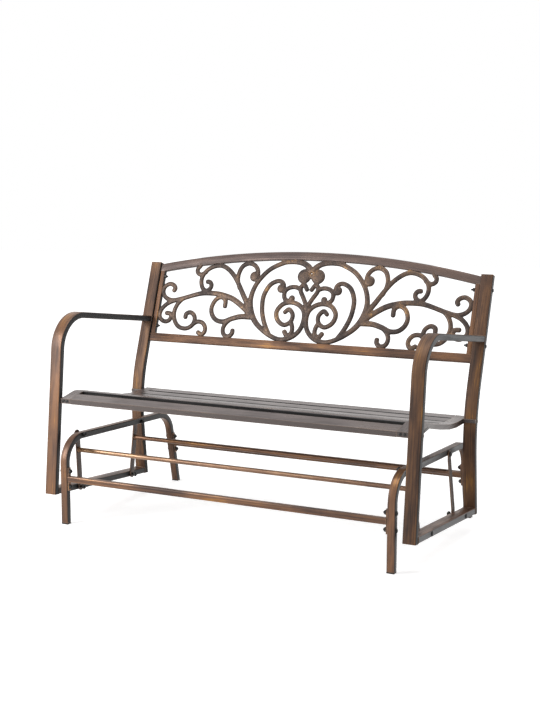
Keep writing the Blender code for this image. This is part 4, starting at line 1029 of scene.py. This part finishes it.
def build_finishes():
    """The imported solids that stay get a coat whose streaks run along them. The last match counts."""
    coats = (
        ("foot_plug", PLASTIC), ("seat_slat", SLAT_COAT), ("seat_slat_1_front", LIP_COAT),
        ("seat_side_bar", SEAT_BAR_COAT), ("stretcher", BRONZE_ALONG["X"]), ("post_cap", BRONZE_ALONG["Z"]),
    )
    for name, node in NODES.items():
        for word, coat in coats:
            if word in name:
                node.data.materials.clear()
                node.data.materials.append(coat)


build_base()
build_frame()
build_panel()
build_swings()
build_bolts()
for side_name, side in SIDES:
    build_shade_marks_on_seat(side_name, side)
    build_seat_tab(side_name)
build_finishes()


# Floor, backdrop and lights


WHITE = (1.0, 1.0, 1.0, 1.0)
FLOOR_COLOUR = (0.80, 0.80, 0.80, 1.0)
FLOOR_HALF = 12.0
# The floor's glow rises from the first strength to the second between these distances from the bench
GLOW_NEAR, GLOW_FAR = (1.0, 0.64), (3.0, 1.0)
WORLD_LIGHT = 0.36
WORLD_SEEN = 1.0
# Softboxes: where each stands, what it aims at, its width and height, and its watts
SOFTBOXES = {
    "front_left_softbox": ((-1.8, -2.1, 1.4), (-0.6, 0.0, 0.45), (1.0, 1.6), 56.0),
    "top_softbox": ((0.2, -0.4, 2.8), (0.0, 0.0, 0.4), (2.4, 1.6), 38.0),
    "right_rear_softbox": ((1.9, 1.6, 0.7), (0.6, 0.1, 0.4), (0.8, 1.2), 9.0),
}
# The photograph's view, in degrees round to the bench's right, down, and about the line of sight
CAMERA_PLACE = (1.8457, -3.6019, 1.1057)
CAMERA_ROUND = 27.126
CAMERA_DOWN = 8.101
CAMERA_ROLL = 0.156
CAMERA_LENS = 63.68


def seen_rays(tree):
    """1 for what the camera, reflections and clear materials see, and 0 for what lights a surface."""
    path = tree.nodes.new("ShaderNodeLightPath")
    first = math_node(tree, "MAXIMUM", path.outputs["Is Camera Ray"], path.outputs["Is Glossy Ray"])
    return math_node(tree, "MAXIMUM", first, path.outputs["Is Transmission Ray"])


def white_floor_material():
    """White to the eye and to reflections, and still a floor that takes a soft shadow near the bench."""
    material, tree, shader = new_material("pale_floor")
    shader.inputs["Base Color"].default_value = FLOOR_COLOUR
    shader.inputs["Roughness"].default_value = 1.0
    shader.inputs["Specular IOR Level"].default_value = 0.0
    shader.inputs["Emission Color"].default_value = WHITE
    coordinates = tree.nodes.new("ShaderNodeTexCoord")
    away = tree.nodes.new("ShaderNodeVectorMath")
    away.operation = "LENGTH"
    tree.links.new(coordinates.outputs["Object"], away.inputs[0])
    glow = ramp(tree, away.outputs["Value"], GLOW_NEAR[0], GLOW_FAR[0], GLOW_NEAR[1], GLOW_FAR[1])
    tree.links.new(math_node(tree, "MULTIPLY", seen_rays(tree), glow), shader.inputs["Emission Strength"])
    return material


def make_floor():
    mesh = bpy.data.meshes.new("floor")
    corners = [(x * FLOOR_HALF, y * FLOOR_HALF, 0.0) for x, y in ((-1, -1), (1, -1), (1, 1), (-1, 1))]
    mesh.from_pydata(corners, [], [(0, 1, 2, 3)])
    floor = bpy.data.objects.new("floor", mesh)
    bpy.context.scene.collection.objects.link(floor)
    mesh.materials.append(white_floor_material())


def background(tree, strength):
    node = tree.nodes.new("ShaderNodeBackground")
    node.inputs["Color"].default_value = WHITE
    node.inputs["Strength"].default_value = strength
    return node.outputs["Background"]


def make_world():
    """Even light from all round, and pure white where the camera or a reflection sees it."""
    world = bpy.data.worlds.new("studio")
    world.use_nodes = True
    tree = world.node_tree
    tree.nodes.clear()
    output = tree.nodes.new("ShaderNodeOutputWorld")
    choose = tree.nodes.new("ShaderNodeMixShader")
    tree.links.new(seen_rays(tree), choose.inputs["Fac"])
    tree.links.new(background(tree, WORLD_LIGHT), choose.inputs[1])
    tree.links.new(background(tree, WORLD_SEEN), choose.inputs[2])
    tree.links.new(choose.outputs["Shader"], output.inputs["Surface"])
    bpy.context.scene.world = world


def add_softbox(name, place, target, size, power):
    lamp = bpy.data.lights.new(name, "AREA")
    lamp.shape = "RECTANGLE"
    lamp.size, lamp.size_y = size
    lamp.energy = power
    box = bpy.data.objects.new(name, lamp)
    bpy.context.scene.collection.objects.link(box)
    box.location = place
    aim = Vector(target) - Vector(place)
    box.rotation_euler = aim.to_track_quat("-Z", "Y").to_euler()


def make_camera():
    data = bpy.data.cameras.new("camera")
    data.lens = CAMERA_LENS
    data.sensor_width = 36.0
    data.clip_end = 60.0
    camera = bpy.data.objects.new("camera", data)
    bpy.context.scene.collection.objects.link(camera)
    turn = Matrix.Rotation(math.radians(CAMERA_ROUND), 4, "Z")
    tilt = Matrix.Rotation(math.radians(90 - CAMERA_DOWN), 4, "X")
    roll = Matrix.Rotation(math.radians(CAMERA_ROLL), 4, "Z")
    camera.matrix_world = Matrix.Translation(CAMERA_PLACE) @ turn @ tilt @ roll
    bpy.context.scene.camera = camera


make_floor()
make_world()
make_camera()
for softbox_name, settings in SOFTBOXES.items():
    add_softbox(softbox_name, *settings)

bpy.context.scene.view_settings.view_transform = "Standard"
